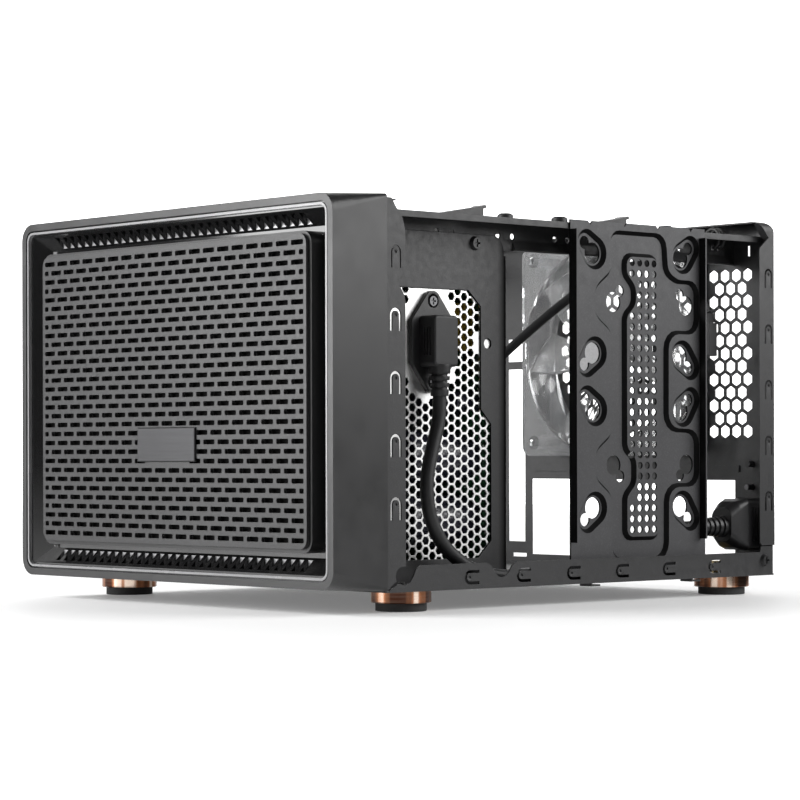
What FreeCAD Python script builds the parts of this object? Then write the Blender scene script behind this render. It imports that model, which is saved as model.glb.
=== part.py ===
import FreeCAD, Part
import math
import os

os.makedirs("parts", exist_ok=True)
V = FreeCAD.Vector

# ------------------------------------------------------------------ driving sizes (mm)
# Working frame: x to the right seen from the front, y to the rear, z up from the
# bezel's bottom edge. OFF moves the finished pieces so that the whole part stands on
# its feet, centred.
W, HB = 256.0, 186.0            # bezel width and height
YF, YR = -157.0, 157.0          # front rim plane, rear panel outer face
BEZ_D = 34.0                    # bezel depth
RIM = 3.7                       # bezel rim width
T = 0.8                         # chassis sheet thickness
XS = 126.9                      # chassis outer side plane
TRAY_B, TRAY_T = -2.15, -1.35   # tray underside and floor
RAIL_T = 10.4                   # top of the tray's side rails
TAB_P = 30.0                    # pitch of the cover tabs up the flanges
TOP_Z = 180.8                   # top face of the top rails
IO_X0, IO_Z0 = -59.3, 4.35      # rear I/O aperture, lower corner
IO_W, IO_H = 158.75, 44.45
FAN, FAN_T = 120.0, 25.0        # fan frame
RF_X, RF_Z = 18.5, 122.4        # rear fan axis
PSU_X0, PSU_X1 = -40.8, 99.2    # power supply box
PSU_Y0, PSU_Y1 = -106.0, -20.0
PSU_Z0, PSU_Z1 = 4.0, 154.0
INL_Y, INL_Z = -70.0, 119.0     # supply inlet centre
RIN_X, RIN_Z = 112.0, 25.2      # rear inlet centre
DP_X = 120.6                    # drive plate inner face
DP_T = 1.0
FOOT_X, FOOT_YF, FOOT_YR = 110.7, -99.4, 132.2
FLOOR = -12.0                   # what the feet stand on
BRD_X1, BRD_Y1 = 104.0, 153.9   # board's right edge and rear edge
OFF = V(0.05, -1.3, 12.0)


def poly(pts):
    pts = [V(*p) for p in pts]
    return Part.makePolygon(pts + [pts[0]])


def ccw(pts):
    # outline turned so that it runs anticlockwise
    a = sum(pts[i - 1][0] * pts[i][1] - pts[i][0] * pts[i - 1][1] for i in range(len(pts)))
    return list(pts) if a > 0 else list(pts)[::-1]


def box(x0, x1, y0, y1, z0, z1):
    return Part.makeBox(x1 - x0, y1 - y0, z1 - z0, V(x0, y0, z0))


def cyl(c, d, r, h):
    return Part.makeCylinder(r, h, V(*c), V(*d))


def cone(c, d, r0, r1, h):
    return Part.makeCone(r0, r1, h, V(*c), V(*d))


def fuse(a, *more):
    s = a.fuse(list(more))
    try:
        s = s.removeSplitter()
    except Exception:
        pass
    return s


def cut(a, *more):
    return a.cut(list(more))


def xy(plane, v, a, b):
    # a point of a sheet: plane "x" has (y, z), "y" has (x, z), "z" has (x, y)
    return {"x": (v, a, b), "y": (a, v, b), "z": (a, b, v)}[plane]


def sheet(plane, v0, v1, outer, holes=()):
    n = {"x": V(1, 0, 0), "y": V(0, 1, 0), "z": V(0, 0, 1)}[plane]
    # the outline runs one way round and every hole the other way
    fo = poly([xy(plane, v0, a, b) for a, b in ccw(outer)])
    fh = [poly([xy(plane, v0, a, b) for a, b in ccw(h)[::-1]]) for h in holes]
    return Part.Face([fo] + fh).extrude(n * (v1 - v0))


def rrect(x0, x1, z0, z1, r, n=6):
    pts = []
    for cx, cz, a0 in ((x1 - r, z0 + r, -90), (x1 - r, z1 - r, 0), (x0 + r, z1 - r, 90), (x0 + r, z0 + r, 180)):
        for k in range(n + 1):
            a = math.radians(a0 + 90.0 * k / n)
            pts.append((cx + r * math.cos(a), cz + r * math.sin(a)))
    return pts


def rect(x0, x1, z0, z1):
    return [(x0, z0), (x1, z0), (x1, z1), (x0, z1)]


def ngon(cx, cz, r, n, a0=0.0):
    return [(cx + r * math.cos(math.radians(a0 + 360.0 * k / n)),
             cz + r * math.sin(math.radians(a0 + 360.0 * k / n))) for k in range(n)]


def rr_wire(y, x0, x1, z0, z1, r):
    # rounded rectangle in a plane of constant y, true arcs
    def p(a, b):
        return V(a, y, b)
    q = r * (1 - math.sqrt(0.5))
    e = [Part.LineSegment(p(x0 + r, z0), p(x1 - r, z0)),
         Part.Arc(p(x1 - r, z0), p(x1 - q, z0 + q), p(x1, z0 + r)),
         Part.LineSegment(p(x1, z0 + r), p(x1, z1 - r)),
         Part.Arc(p(x1, z1 - r), p(x1 - q, z1 - q), p(x1 - r, z1)),
         Part.LineSegment(p(x1 - r, z1), p(x0 + r, z1)),
         Part.Arc(p(x0 + r, z1), p(x0 + q, z1 - q), p(x0, z1 - r)),
         Part.LineSegment(p(x0, z1 - r), p(x0, z0 + r)),
         Part.Arc(p(x0, z0 + r), p(x0 + q, z0 + q), p(x0 + r, z0))]
    return Part.Wire([i.toShape() for i in e])


def rr_prism(y0, y1, x0, x1, z0, z1, r):
    return Part.Face(rr_wire(y0, x0, x1, z0, z1, r)).extrude(V(0, y1 - y0, 0))


def u_slot(cy, ztop, w=5.0, h=10.4, s=1.05, n=7):
    # arch-shaped slot around a sprung tab: (y, z) outline, arch up
    ro, ri = w / 2.0, w / 2.0 - s
    zc = ztop - ro
    pts = [(cy - ro, ztop - h)]
    for k in range(n + 1):
        a = math.radians(180 - 180.0 * k / n)
        pts.append((cy + ro * math.cos(a), zc + ro * math.sin(a)))
    pts += [(cy + ro, ztop - h), (cy + ri, ztop - h)]
    for k in range(n + 1):
        a = math.radians(180.0 * k / n)
        pts.append((cy + ri * math.cos(a), zc + ri * math.sin(a)))
    pts += [(cy - ri, ztop - h)]
    return pts


def c_slot(y0, cz, w=6.4, h=9.8, s=1.05, n=7):
    # the same slot lying down, arch towards the front
    return [(y0 + (0 - (b - 0)), cz + a) for a, b in u_slot(0.0, 0.0, w, h, s, n)]


OUT = []


def put(name, shape):
    s = shape.copy()
    s.translate(OFF)
    s.exportStep("parts/%s.step" % name)
    bb = s.BoundBox
    ok = s.isValid() if len(s.Faces) < 1500 else True
    OUT.append((name, len(s.Solids), ok))
    print("%-20s solids %d faces %d valid %s vol %.2f cm3  x %.1f..%.1f y %.1f..%.1f z %.1f..%.1f" % (
        name, len(s.Solids), len(s.Faces), ok, s.Volume / 1000.0, bb.XMin, bb.XMax, bb.YMin, bb.YMax, bb.ZMin, bb.ZMax))


def comp(shapes):
    return Part.makeCompound(shapes)


# ------------------------------------------------------------------ front bezel
hw = W / 2.0
outer = Part.makeLoft([rr_wire(YF, -hw, hw, 0.0, HB, 9.0),
                       rr_wire(YF + BEZ_D, -hw, hw, -1.3, HB + 1.2, 2.0)], True, True)
bore = rr_prism(YF - 1, YF + BEZ_D + 1, -hw + RIM, hw - RIM, RIM, HB - RIM, 5.5)
bezel = outer.cut(bore)
pegs = []
PEG = [(s * 117.5, z) for s in (-1, 1) for z in (22.0, 93.0, 164.0)]
for px, pz in PEG:
    s = 1 if px > 0 else -1
    x0, x1 = sorted((px - s * 4.0, s * 125.0))
    pegs.append(box(x0, x1, YF + BEZ_D - 6, YF + BEZ_D, pz - 4, pz + 4))
    pegs.append(cyl((px, YF + BEZ_D - 1, pz), (0, 1, 0), 2.6, 6.0))
BTN_Y = -135.0
PWR_Z, RST_Z, USB_Z, AUD_Z = 148.0, 131.0, (112.0, 95.0), (79.0, 67.0)
bezel = fuse(bezel, *pegs)
ports = [cyl((-hw - 1, BTN_Y, PWR_Z), (1, 0, 0), 6.3, 6), cyl((-hw - 1, BTN_Y, RST_Z), (1, 0, 0), 2.8, 6)]
ports += [box(-hw - 1, -hw + 5, BTN_Y - 3.1, BTN_Y + 3.1, z - 6.9, z + 6.9) for z in USB_Z]
ports += [cyl((-hw - 1, BTN_Y, z), (1, 0, 0), 3.3, 6) for z in AUD_Z]
bezel = cut(bezel, *ports)
put("front_bezel", bezel)

# bright lip just inside the rim, in a fine groove
TR = 4.5
ring = rr_prism(YF + 0.3, YF + 2.3, -hw + TR, hw - TR, TR, HB - TR, 4.8).cut(
    rr_prism(YF, YF + 3, -hw + TR + 1.1, hw - TR - 1.1, TR + 1.1, HB - TR - 1.1, 3.8))
put("trim_ring", ring)

# sloped inner frame with comb slots above and below, and a floor round the panel
SL0, SL1, SLD = 6.6, 14.6, 8.2     # inset of the slope at its lip and at its foot, depth
yl = YF + 2.3


def rw(y, i):
    return poly([(-hw + i, y, i), (hw - i, y, i), (hw - i, y, HB - i), (-hw + i, y, HB - i)])


# the slope thickens towards its foot, so each slot ends on a tall wall
solid_o = Part.makeLoft([rw(yl, SL0 - 1.9), rw(yl + SLD, SL1 - 6.4)], True, True)
solid_i = Part.makeLoft([rw(yl - 0.4, SL0 - 0.4), rw(yl + SLD + 0.4, SL1 + 0.4)], True, True)
slope = solid_o.cut(solid_i)
a, b, c = hw - RIM, HB - RIM, 5.7
lipring = sheet("y", yl, yl + 1.2, [(-a + c, RIM), (a - c, RIM), (a, RIM + c), (a, b - c), (a - c, b), (-a + c, b), (-a, b - c), (-a, RIM + c)],
                [rect(-hw + SL0, hw - SL0, SL0, HB - SL0)])
MF = yl + SLD
floor_holes = [rect(-109.0, 109.0, 18.4, 167.6)]
for k in range(29):
    z = 93.0 + (k - 14) * 4.7
    for s in (-1, 1):
        a, b = sorted((s * (hw - 15.3), s * (hw - 16.7)))
        floor_holes.append(rect(a, b, z - 1.5, z + 1.5))
mfloor = sheet("y", MF - 0.2, MF + 1.3, rect(-hw + SL1 - 1.9, hw - SL1 + 1.9, SL1 - 1.9, HB - SL1 + 1.9), floor_holes)
surround = fuse(slope, lipring, mfloor)
NCOMB, COMB_P, COMB_W = 32, 6.5, 3.5
slots = []
for k in range(NCOMB):
    x = (k - (NCOMB - 1) / 2.0) * COMB_P
    slots.append(box(x - COMB_W / 2, x + COMB_W / 2, yl + 1.5, MF - 1.3, HB - SL1 - 0.6, HB - SL0 + 2.2))
    slots.append(box(x - COMB_W / 2, x + COMB_W / 2, yl + 1.5, MF - 1.3, SL0 - 2.2, SL1 + 0.6))
surround = surround.cut(comp(slots))
put("vent_surround", surround)

# carrier of the mesh panel: a deep plastic ring with cross bars
CX, CZ0, CZ1 = 110.6, 16.8, 169.2
MESH_T = 1.8
carrier = rr_prism(YF + MESH_T, MF - 0.2, -CX, CX, CZ0, CZ1, 6.5).cut(
    rr_prism(YF + MESH_T - 0.1, MF, -CX + 3.0, CX - 3.0, CZ0 + 3.0, CZ1 - 3.0, 4.0))
bars = [box(-CX + 2, CX - 2, YF + 4.0, YF + 8.0, z - 1.2, z + 1.2) for z in (62.0, 124.0)]
bars += [box(x - 1.2, x + 1.2, YF + 4.0, YF + 8.0, CZ0 + 2, CZ1 - 2) for x in (-56.0, 0.0, 56.0)]
feetc = [box(-108.8, 108.8, MF - 0.4, MF + 2.6, 18.6, 167.4).cut(
    box(-107.6, 107.6, MF - 1, MF + 3, CZ0 + 3, CZ1 - 3))]
carrier = fuse(carrier, *(bars + feetc))
put("mesh_carrier", carrier)

# fine dust filter behind the panel, on the carrier's bars
put("dust_filter", rr_prism(YF + 3.4, YF + 4.0, -CX + 3.1, CX - 3.1, CZ0 + 3.1, CZ1 - 3.1, 3.9))

# brick-pattern perforated panel
MP, MR, ML, MH = 11.34, 4.70, 8.9, 2.4
MX, MZ0, MZ1 = 108.7, 18.7, 167.9
BDG = (-23.6, 23.9, 60.0, 77.2)
holes = []
for r in range(31):
    z = 93.3 + (r - 15) * MR
    spans = []
    if r % 2 == 0:
        for k in range(19):
            x = (k - 9) * MP
            spans.append((x - ML / 2, x + ML / 2))
    else:
        for k in range(18):
            x = (k - 8.5) * MP
            spans.append((x - ML / 2, x + ML / 2))
        spans += [(-106.6, -103.4), (103.4, 106.6)]
    for a, b in spans:
        inside = a > BDG[0] - 1 and b < BDG[1] + 1 and z > BDG[2] - 0.5 and z < BDG[3] + 0.5
        if inside:
            continue
        z0, z1 = z - MH / 2, z + MH / 2
        c = 0.45
        holes.append([(a + c, z0), (b - c, z0), (b, z0 + c), (b, z1 - c), (b - c, z1), (a + c, z1), (a, z1 - c), (a, z0 + c)])
mesh = sheet("y", YF + 0.0, YF + MESH_T, rrect(-MX, MX, MZ0, MZ1, 5.0), holes)
put("front_mesh", mesh)

badge = box(BDG[0], BDG[1], YF - 1.2, YF, BDG[2], BDG[3])
badge = badge.makeChamfer(0.5, [e for e in badge.Edges if e.BoundBox.YMax < YF - 1.1])
put("badge_plate", badge)

# ------------------------------------------------------------------ buttons and front ports
pb = fuse(cyl((-hw - 0.8, BTN_Y, PWR_Z), (1, 0, 0), 6.0, 5.2), cyl((-hw + RIM + 0.3, BTN_Y, PWR_Z), (1, 0, 0), 7.6, 1.2),
          cyl((-hw + RIM + 1.4, BTN_Y, PWR_Z), (1, 0, 0), 1.6, 1.6))
pb = pb.cut(cyl((-hw - 0.9, BTN_Y, PWR_Z), (1, 0, 0), 4.4, 0.5))
put("power_button", pb)
rb = fuse(cyl((-hw - 0.2, BTN_Y, RST_Z), (1, 0, 0), 2.5, 4.6), cyl((-hw + RIM + 0.3, BTN_Y, RST_Z), (1, 0, 0), 3.8, 1.2),
          cyl((-hw + RIM + 1.4, BTN_Y, RST_Z), (1, 0, 0), 1.2, 1.6))
put("reset_button", rb)
IOB_X = -116.6
iob = box(IOB_X, IOB_X + 1.6, BTN_Y - 9.0, BTN_Y + 5.0, 56.0, 158.0)
sw = []
for z, tr in ((PWR_Z, 1.6), (RST_Z, 1.2)):
    sw.append(box(-hw + RIM + 5.2, IOB_X, BTN_Y - 3, BTN_Y + 3, z - 3, z + 3))
    sw.append(cyl((-hw + RIM + 3.0 + tr, BTN_Y, z), (1, 0, 0), 1.6, 2.0 if tr < 1.5 else 1.6))
iob = fuse(iob, *sw)
# tabs that stand the board on the steel front plate
posts = [box(IOB_X, IOB_X + 1.6, BTN_Y + 4.0, YF + BEZ_D, z - 5, z + 5) for z in (64.0, 140.0)]
iob = fuse(iob, *posts)
put("io_board", iob)
us = []
for z in USB_Z:
    b = box(-hw + 0.2, IOB_X, BTN_Y - 2.8, BTN_Y + 2.8, z - 6.6, z + 6.6)
    us.append(b.cut(comp([box(-hw, -hw + 9, BTN_Y - 2.3, BTN_Y - 0.2, z - 6.1, z + 6.1),
                          box(-hw, -hw + 9, BTN_Y + 1.3, BTN_Y + 2.3, z - 6.1, z + 6.1),
                          box(-hw, -hw + 1.0, BTN_Y - 2.3, BTN_Y + 2.3, z - 6.1, z + 6.1)])))
put("usb_sockets", comp(us))
au = []
for z in AUD_Z:
    b = fuse(cyl((-hw + 0.2, BTN_Y, z), (1, 0, 0), 3.0, 4.4), box(-hw + RIM + 0.4, IOB_X, BTN_Y - 4, BTN_Y + 4, z - 4.2, z + 4.2))
    au.append(b.cut(cyl((-hw, BTN_Y, z), (1, 0, 0), 1.8, 10)))
put("audio_jacks", comp(au))

# ------------------------------------------------------------------ chassis front plate
FPY = YF + BEZ_D                       # front face of the plate
tabz = [163.2 - TAB_P * k for k in range(5)]
fp_holes = [rrect(-96.0, -6.0, 16.0, 170.0, 6.0, 3), rrect(0.0, 88.0, 16.0, 170.0, 6.0, 3)]
for px, pz in PEG:
    fp_holes.append(ngon(px, pz, 3.0, 16))
fplate = sheet("y", FPY, FPY + T, rect(-XS, XS, TRAY_T, 185.4), fp_holes)


def side_flange_front():
    y0, y1 = FPY, FPY + 12.4
    o = [(y0, -1.3), (y0 + 5.2, 2.4)]
    # round relief above the tray rail's end
    for k in range(7):
        a = math.radians(215 - 125.0 * k / 6)
        o.append((y0 + 10.2 + 4.4 * math.cos(a), 5.6 + 4.4 * math.sin(a)))
    o += [(y1, 10.2), (y1, 136.0), (y1 - 0.5, 139.0), (y1 - 2.0, 141.5), (y1 - 4.2, 144.0), (y1 - 4.2, 146.0),
          (y1 - 2.0, 149.5), (y1, 153.0), (y1, 170.0), (y1 - 1.6, 176.0), (y1 - 6.0, 181.5), (y1 - 8.6, 185.4), (y0, 185.4)]
    return o, [u_slot(y0 + 6.2, z, 7.0, 11.0, 1.4) for z in tabz]


def dimples(pts):
    # small dimples pressed into the free ends of the sprung tabs, both sides
    return comp([cyl((s * (XS + 0.2), y, z), (-s, 0, 0), 0.75, 0.7) for s in (-1, 1) for y, z in pts])


o, h = side_flange_front()
dm = dimples([(FPY + 6.2, z - 3.6) for z in tabz])
fr = sheet("x", XS - T, XS, o, h).cut(dm)
fl = sheet("x", -XS, -XS + T, o, h).cut(dm)
ft = box(-XS + 4, XS - 4, FPY, FPY + 10, 184.6, 185.4)
fb = box(-XS + 4, XS - 4, FPY, FPY + 10, TRAY_T, TRAY_T + T)
fplate = fuse(fplate, fr, fl, ft, fb)
put("front_plate", fplate)

# ------------------------------------------------------------------ base tray


def rail_outline():
    yb = FPY
    o = [(yb + 0.8, TRAY_B), (155.3, TRAY_B), (155.3, 13.4), (146.0, 13.4), (145.2, RAIL_T)]
    # dip near the supply bracket's edge
    dip = [(-37.5, RAIL_T), (-40.2, 8.6), (-42.2, 5.6), (-44.6, 3.6), (-47.2, 3.0), (-49.8, 3.6), (-52.2, 5.6), (-54.2, 8.6), (-57.0, RAIL_T)]
    o += dip
    o += [(-101.0, RAIL_T), (-104.0, 8.6), (-105.6, 5.4), (-107.8, 2.4), (-111.2, 0.9), (-114.6, 2.0), (-116.2, 1.4)]
    return o


rail_h = [c_slot(-72.4 + 35.2 * k, 3.6, 7.0, 9.8, 1.5) for k in range(6)]
rail_h.append(ngon(148.6, 6.0, 2.1, 14))
o = rail_outline()
dm = dimples([(-72.4 + 35.2 * k + 3.4, 3.6) for k in range(6)])
rr_ = sheet("x", XS - T, XS, o, rail_h).cut(dm)
rl_ = sheet("x", -XS, -XS + T, o, rail_h).cut(dm)
fh = []
for sx in (-1, 1):
    for fy in (FOOT_YF, FOOT_YR):
        fh.append(ngon(sx * FOOT_X, fy, 2.1, 14))
STAND = [(BRD_X1 - 6.35, BRD_Y1 - 10.16), (BRD_X1 - 6.35, BRD_Y1 - 165.10),
         (BRD_X1 - 163.83, BRD_Y1 - 165.10), (BRD_X1 - 163.83, BRD_Y1 - 33.02)]
for sx, sy in STAND:
    fh.append(ngon(sx, sy, 1.8, 14))
tfloor = sheet("z", TRAY_B, TRAY_T, rect(-XS, XS, FPY, 156.2), fh)
hooks = []
for s in (-1, 1):
    for y in (19.5, 95.0):
        a, b = sorted((s * 126.0, s * 118.0))
        hooks.append(box(a, b, y - 3.4, y + 3.4, TRAY_B - 1.6, TRAY_B - 0.7))
        hooks.append(box(a, b, y - 3.4, y - 2.5, TRAY_B - 1.6, TRAY_B + 0.2))
tray = fuse(tfloor, rr_, rl_, *hooks)
put("base_tray", tray)

# ------------------------------------------------------------------ rear panel
rp_holes = [rect(IO_X0, IO_X0 + IO_W, IO_Z0, IO_Z0 + IO_H)]
for k in range(2):
    dx = -20.32 * k
    rp_holes.append(rect(-79.3 + dx, -64.9 + dx, 11.6, 113.6))
    rp_holes.append(rect(-79.3 + dx, -64.9 + dx, 118.2, 131.4))
    rp_holes.append(rect(-75.6 + dx, -63.8 + dx, 2.6, 4.8))
HP, HR = 8.2, 7.12
for r in range(13):
    z = 161.0 - r * HR
    n = 4 if r % 2 == 0 else 3
    for k in range(n):
        x = 84.0 + HP * k + (0 if n == 4 else HP / 2)
        rp_holes.append(ngon(x, z, 6.4 / math.sqrt(3), 6, 90))
# the same hexagons fill the fan's circle
for r in range(-8, 9):
    z = RF_Z + r * HR
    for k in range(-8, 9):
        x = RF_X + HP * k + (HP / 2 if r % 2 else 0)
        if math.hypot(x - RF_X, z - RF_Z) < 53.0:
            rp_holes.append(ngon(x, z, 6.4 / math.sqrt(3), 6, 90))
FSC = [(RF_X + a * 52.5, RF_Z + b * 52.5) for a in (-1, 1) for b in (-1, 1)]
for x, z in FSC:
    rp_holes.append(ngon(x, z, 2.4, 14))
# inlet cut-out and its screws
rp_holes.append(rrect(RIN_X - 9.8, RIN_X + 9.8, RIN_Z - 14.2, RIN_Z + 14.2, 0.6, 2))
for z in (RIN_Z - 20.0, RIN_Z + 20.0):
    rp_holes.append(ngon(RIN_X, z, 1.8, 12))
rp_holes.append(ngon(RIN_X, 57.7, 1.8, 12))
rp_holes.append(rect(108.9, 110.5, 171.0, 176.6))
rpanel = sheet("y", YR - T, YR, rect(-XS + 1.2, XS - 1.2, TRAY_T, 179.6), rp_holes)


def side_flange_rear():
    y0, y1 = 145.2, YR
    o = [(y0 + 1.6, 14.0), (y1, 14.0), (y1, 180.4), (y1 - 3.4, 180.4), (y0 + 0.2, 174.0), (y0, 172.0), (y0, 15.6)]
    return o, [u_slot(152.4, z, 6.2, 10.6, 1.3) for z in tabz]


o, h = side_flange_rear()
dm = dimples([(152.4, z - 3.4) for z in tabz])
flr = sheet("x", XS - T, XS, o, h).cut(dm)
fll = sheet("x", -XS, -XS + T, o, h).cut(dm)
cornr = box(XS - 2.4, XS, YR - T, YR, 14.0, 179.6)
cornl = box(-XS, -XS + 2.4, YR - T, YR, 14.0, 179.6)
# rolled top edge: section in (y, z)
RC, RO = (151.1, 182.5), 5.9
sec = [(YR, 179.4)]
sec += [(RC[0] + RO * math.cos(math.radians(a)), RC[1] + RO * math.sin(math.radians(a))) for a in range(0, 91, 15)]
sec += [(145.0, RC[1] + RO), (145.0, RC[1] + RO - T)]
sec += [(RC[0] + (RO - T) * math.cos(math.radians(a)), RC[1] + (RO - T) * math.sin(math.radians(a))) for a in range(90, -1, -15)]
sec += [(YR - T, 179.4)]
CRN = 5.0                              # rounding of the roll's two ends
roll = poly([(-XS + CRN, a, b) for a, b in sec])
roll = Part.Face(roll).extrude(V(2 * (XS - CRN), 0, 0))
# closed, rounded ends of the roll
cap = [(YR, 179.4)]
cap += [(RC[0] + RO * math.cos(math.radians(a)), RC[1] + RO * math.sin(math.radians(a))) for a in range(0, 91, 15)]
cap += [(146.6, RC[1] + RO), (146.6, RC[1] + RO - 1.2), (151.0, 181.6), (153.4, 179.4)]
ends = []
for s in (-1, 1):
    e = Part.Face(poly([(s * (XS - CRN), a, b) for a, b in cap])).extrude(V(s * CRN, 0, 0))
    zc = RC[1] + RO - CRN
    a, b = sorted((s * (XS - CRN), s * (XS + 1)))
    e = e.cut(box(a, b, 140.0, 160.0, zc, zc + 9).cut(cyl((s * (XS - CRN), 139.0, zc), (0, 1, 0), CRN, 22.0)))
    ends.append(e)
bot = box(-XS + 4, XS - 4, 148.0, YR, TRAY_T, TRAY_T + T)
bead = box(-56.0, 103.0, 155.2, 156.4, 53.4, 57.0)
rpanel = fuse(rpanel, flr, fll, cornr, cornl, roll, bot, bead, *ends)
rpanel = rpanel.cut(comp([cyl((RIN_X, 140, RIN_Z - 20), (0, 1, 0), 1.8, 30)]))
put("rear_panel", rpanel)

# ------------------------------------------------------------------ top rails
TRY0, TRY1 = FPY + T, YR - T
WX, LX = 99.2, DP_X                  # web plane (outer face), lip outer face
HOOK_Y = (-78.6, 23.9)               # where the two lanced hooks begin
TIE_Y, TIE_R = (139.0, 143.2), 5.0   # tie loops round the rail's inner corner


def top_rail():
    s = [(LX, TOP_Z), (LX, TOP_Z - 3.2), (LX - T, TOP_Z - 3.2), (LX - T, TOP_Z - T), (WX, TOP_Z - T), (WX, 166.4),
         (WX - T, 166.4), (WX - T, TOP_Z)]
    body = Part.Face(poly([(a, TRY0, b) for a, b in s])).extrude(V(0, TRY1 - TRY0 - 0.0, 0))
    lipl = [(WX - T + 0.1, 171.2), (WX, 171.2), (WX + 2.4, 167.0), (WX + 1.8, 166.4), (WX - T + 0.1, 166.4)]
    low = Part.Face(poly([(a, -13.0, b) for a, b in lipl])).extrude(V(0, TRY1 - 3 + 13.0, 0))
    body = fuse(body, low)
    hl = []
    for y in (-65.0, -54.5, -23.0, -12.8, 17.5, 26.5, 48.0, 86.0, 112.0, 128.0):
        hl.append(cyl((WX - 4, y, 173.8), (1, 0, 0), 1.5, 8))
    hl.append(cyl((WX - 4, -40.0, 169.0), (1, 0, 0), 1.7, 8))
    # windows left by the two lanced hooks
    for y in HOOK_Y:
        hl.append(box(WX + 5.0, WX + 14.0, y, y + 35.4, TOP_Z - 2, TOP_Z + 2))
    # holes that the tie loops pass through
    for y in TIE_Y:
        hl.append(cyl((WX - 4, y, TOP_Z - 0.4 - TIE_R), (1, 0, 0), 1.6, 8))
        hl.append(cyl((WX - 0.4 + TIE_R, y, TOP_Z - 4), (0, 0, 1), 1.6, 8))
    # the lip is lower behind the drive plate's pressed steps
    hl.append(box(LX - T - 0.2, LX + 0.5, 7.6, 103.2, TOP_Z - 4.0, TOP_Z - 1.4))
    body = body.cut(comp(hl))
    extra = []
    for y in HOOK_Y:
        ramp = [(y - 0.6, TOP_Z - T), (y + 32.6, TOP_Z + 4.8), (y + 34.6, TOP_Z + 4.7), (y + 35.0, TOP_Z + 5.6), (y + 34.2, TOP_Z + 6.4),
                (y + 33.0, TOP_Z + 6.2), (y + 32.0, TOP_Z + 5.6), (y - 0.6, TOP_Z)]
        extra.append(Part.Face(poly([(WX + 5.4, a, b) for a, b in ramp])).extrude(V(8.2, 0, 0)))
        # folded side of the hook
        web = [(y - 0.6, TOP_Z - 0.5), (y + 32.8, TOP_Z - 0.5), (y + 32.8, TOP_Z + 5.2), (y - 0.6, TOP_Z - 0.2)]
        extra.append(Part.Face(poly([(WX + 12.8, a, b) for a, b in web])).extrude(V(0.8, 0, 0)))
    for y in (-27.0, 91.0):
        extra.append(cyl((WX + 9.5, y, TOP_Z - 0.2), (0, 0, 1), 4.0, 2.6))
        extra.append(cone((WX + 9.5, y, TOP_Z + 2.4), (0, 0, 1), 4.0, 2.8, 0.9))
    extra.append(cyl((WX + 9.5, 11.4, TOP_Z - 0.2), (0, 0, 1), 4.2, 3.0))
    extra.append(cone((WX + 9.5, 11.4, TOP_Z + 2.8), (0, 0, 1), 4.2, 3.0, 0.9))
    return fuse(body, *extra)


railR = top_rail()
put("top_rail_right", railR)
put("top_rail_left", railR.mirror(V(0, 0, 0), V(1, 0, 0)))

# ------------------------------------------------------------------ supply bracket
BX0, BX1 = WX, WX + 1.0
op = [(-98.0, 145.3), (-98.0, 11.6), (-38.0, 11.6), (-29.0, 20.0), (-29.0, 78.6), (-36.0, 86.0), (-36.0, 137.6), (-44.4, 145.3)]
BYE = PSU_Y1 + 0.1                   # where the plate's free edge starts to bend
bo = [(FPY + T, TRAY_T + T), (FPY + 10.4, TRAY_T + T), (FPY + 10.4, TRAY_T), (BYE, TRAY_T), (BYE, 166.0)]
for k in range(1, 6):
    a = math.radians(90.0 * k / 5)
    bo.append((BYE - 7.6 + 7.6 * math.cos(a), 166.0 + 7.6 * math.sin(a)))
bo += [(FPY + T, 173.6)]
bh = [op, ngon(-31.2, 119.0, 2.5, 14), ngon(-40.0, 169.0, 1.7, 14), ngon(-102.0, 10.4, 2.0, 12), ngon(-102.0, 147.6, 2.0, 12)]
br = sheet("x", BX0, BX1, bo, bh)
# rolled free edge, turned inward behind the supply
rc, ro = (BX1 - 3.2, BYE), 3.2
arc = [(rc[0] + ro * math.cos(math.radians(a)), rc[1] + ro * math.sin(math.radians(a))) for a in range(0, 91, 15)]
arci = [(rc[0] + (ro - 1.0) * math.cos(math.radians(a)), rc[1] + (ro - 1.0) * math.sin(math.radians(a))) for a in range(90, -1, -15)]
sec = arc + [(84.0, rc[1] + ro), (84.0, rc[1] + ro - 1.0)] + arci
sec = [(a, b - 0.0) for a, b in sec]
rolled = Part.Face(poly([(a, b, TRAY_T + 1.0) for a, b in sec])).extrude(V(0, 0, 164.0))
fbr = box(70.0, BX0 + 0.2, -100.0, -26.0, TRAY_T, TRAY_T + 1.0)
ffr = box(89.0, BX0 + 0.2, FPY + T, FPY + T + 1.0, 4.0, 166.0)
# flange over the supply, joined to the front flange
ftr = box(57.0, WX - T - 0.3, FPY + T, -6.0, 176.4, 177.4)
ffu = box(89.0, WX - T - 0.3, FPY + T, FPY + T + 1.0, 160.0, 177.4)
bracket = fuse(br, rolled, fbr, ffr, ftr, ffu)
put("psu_bracket", bracket)

# ------------------------------------------------------------------ drive plate
Y0, Y1 = 6.3, 104.0
dz0, dz1 = TRAY_T, 182.3


def hull2(c1, r1, c2, r2, n=12):
    # convex outline of two circles (y, z)
    pts = ngon(c1[0], c1[1], r1, 4 * n) + ngon(c2[0], c2[1], r2, 4 * n)
    pts = sorted(set((round(a, 4), round(b, 4)) for a, b in pts))

    def half(ps):
        st = []
        for p in ps:
            while len(st) > 1 and (st[-1][0] - st[-2][0]) * (p[1] - st[-2][1]) - (st[-1][1] - st[-2][1]) * (p[0] - st[-2][0]) <= 1e-9:
                st.pop()
            st.append(p)
        return st
    lo, up = half(pts), half(pts[::-1])
    return lo[:-1] + up[:-1]


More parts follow.
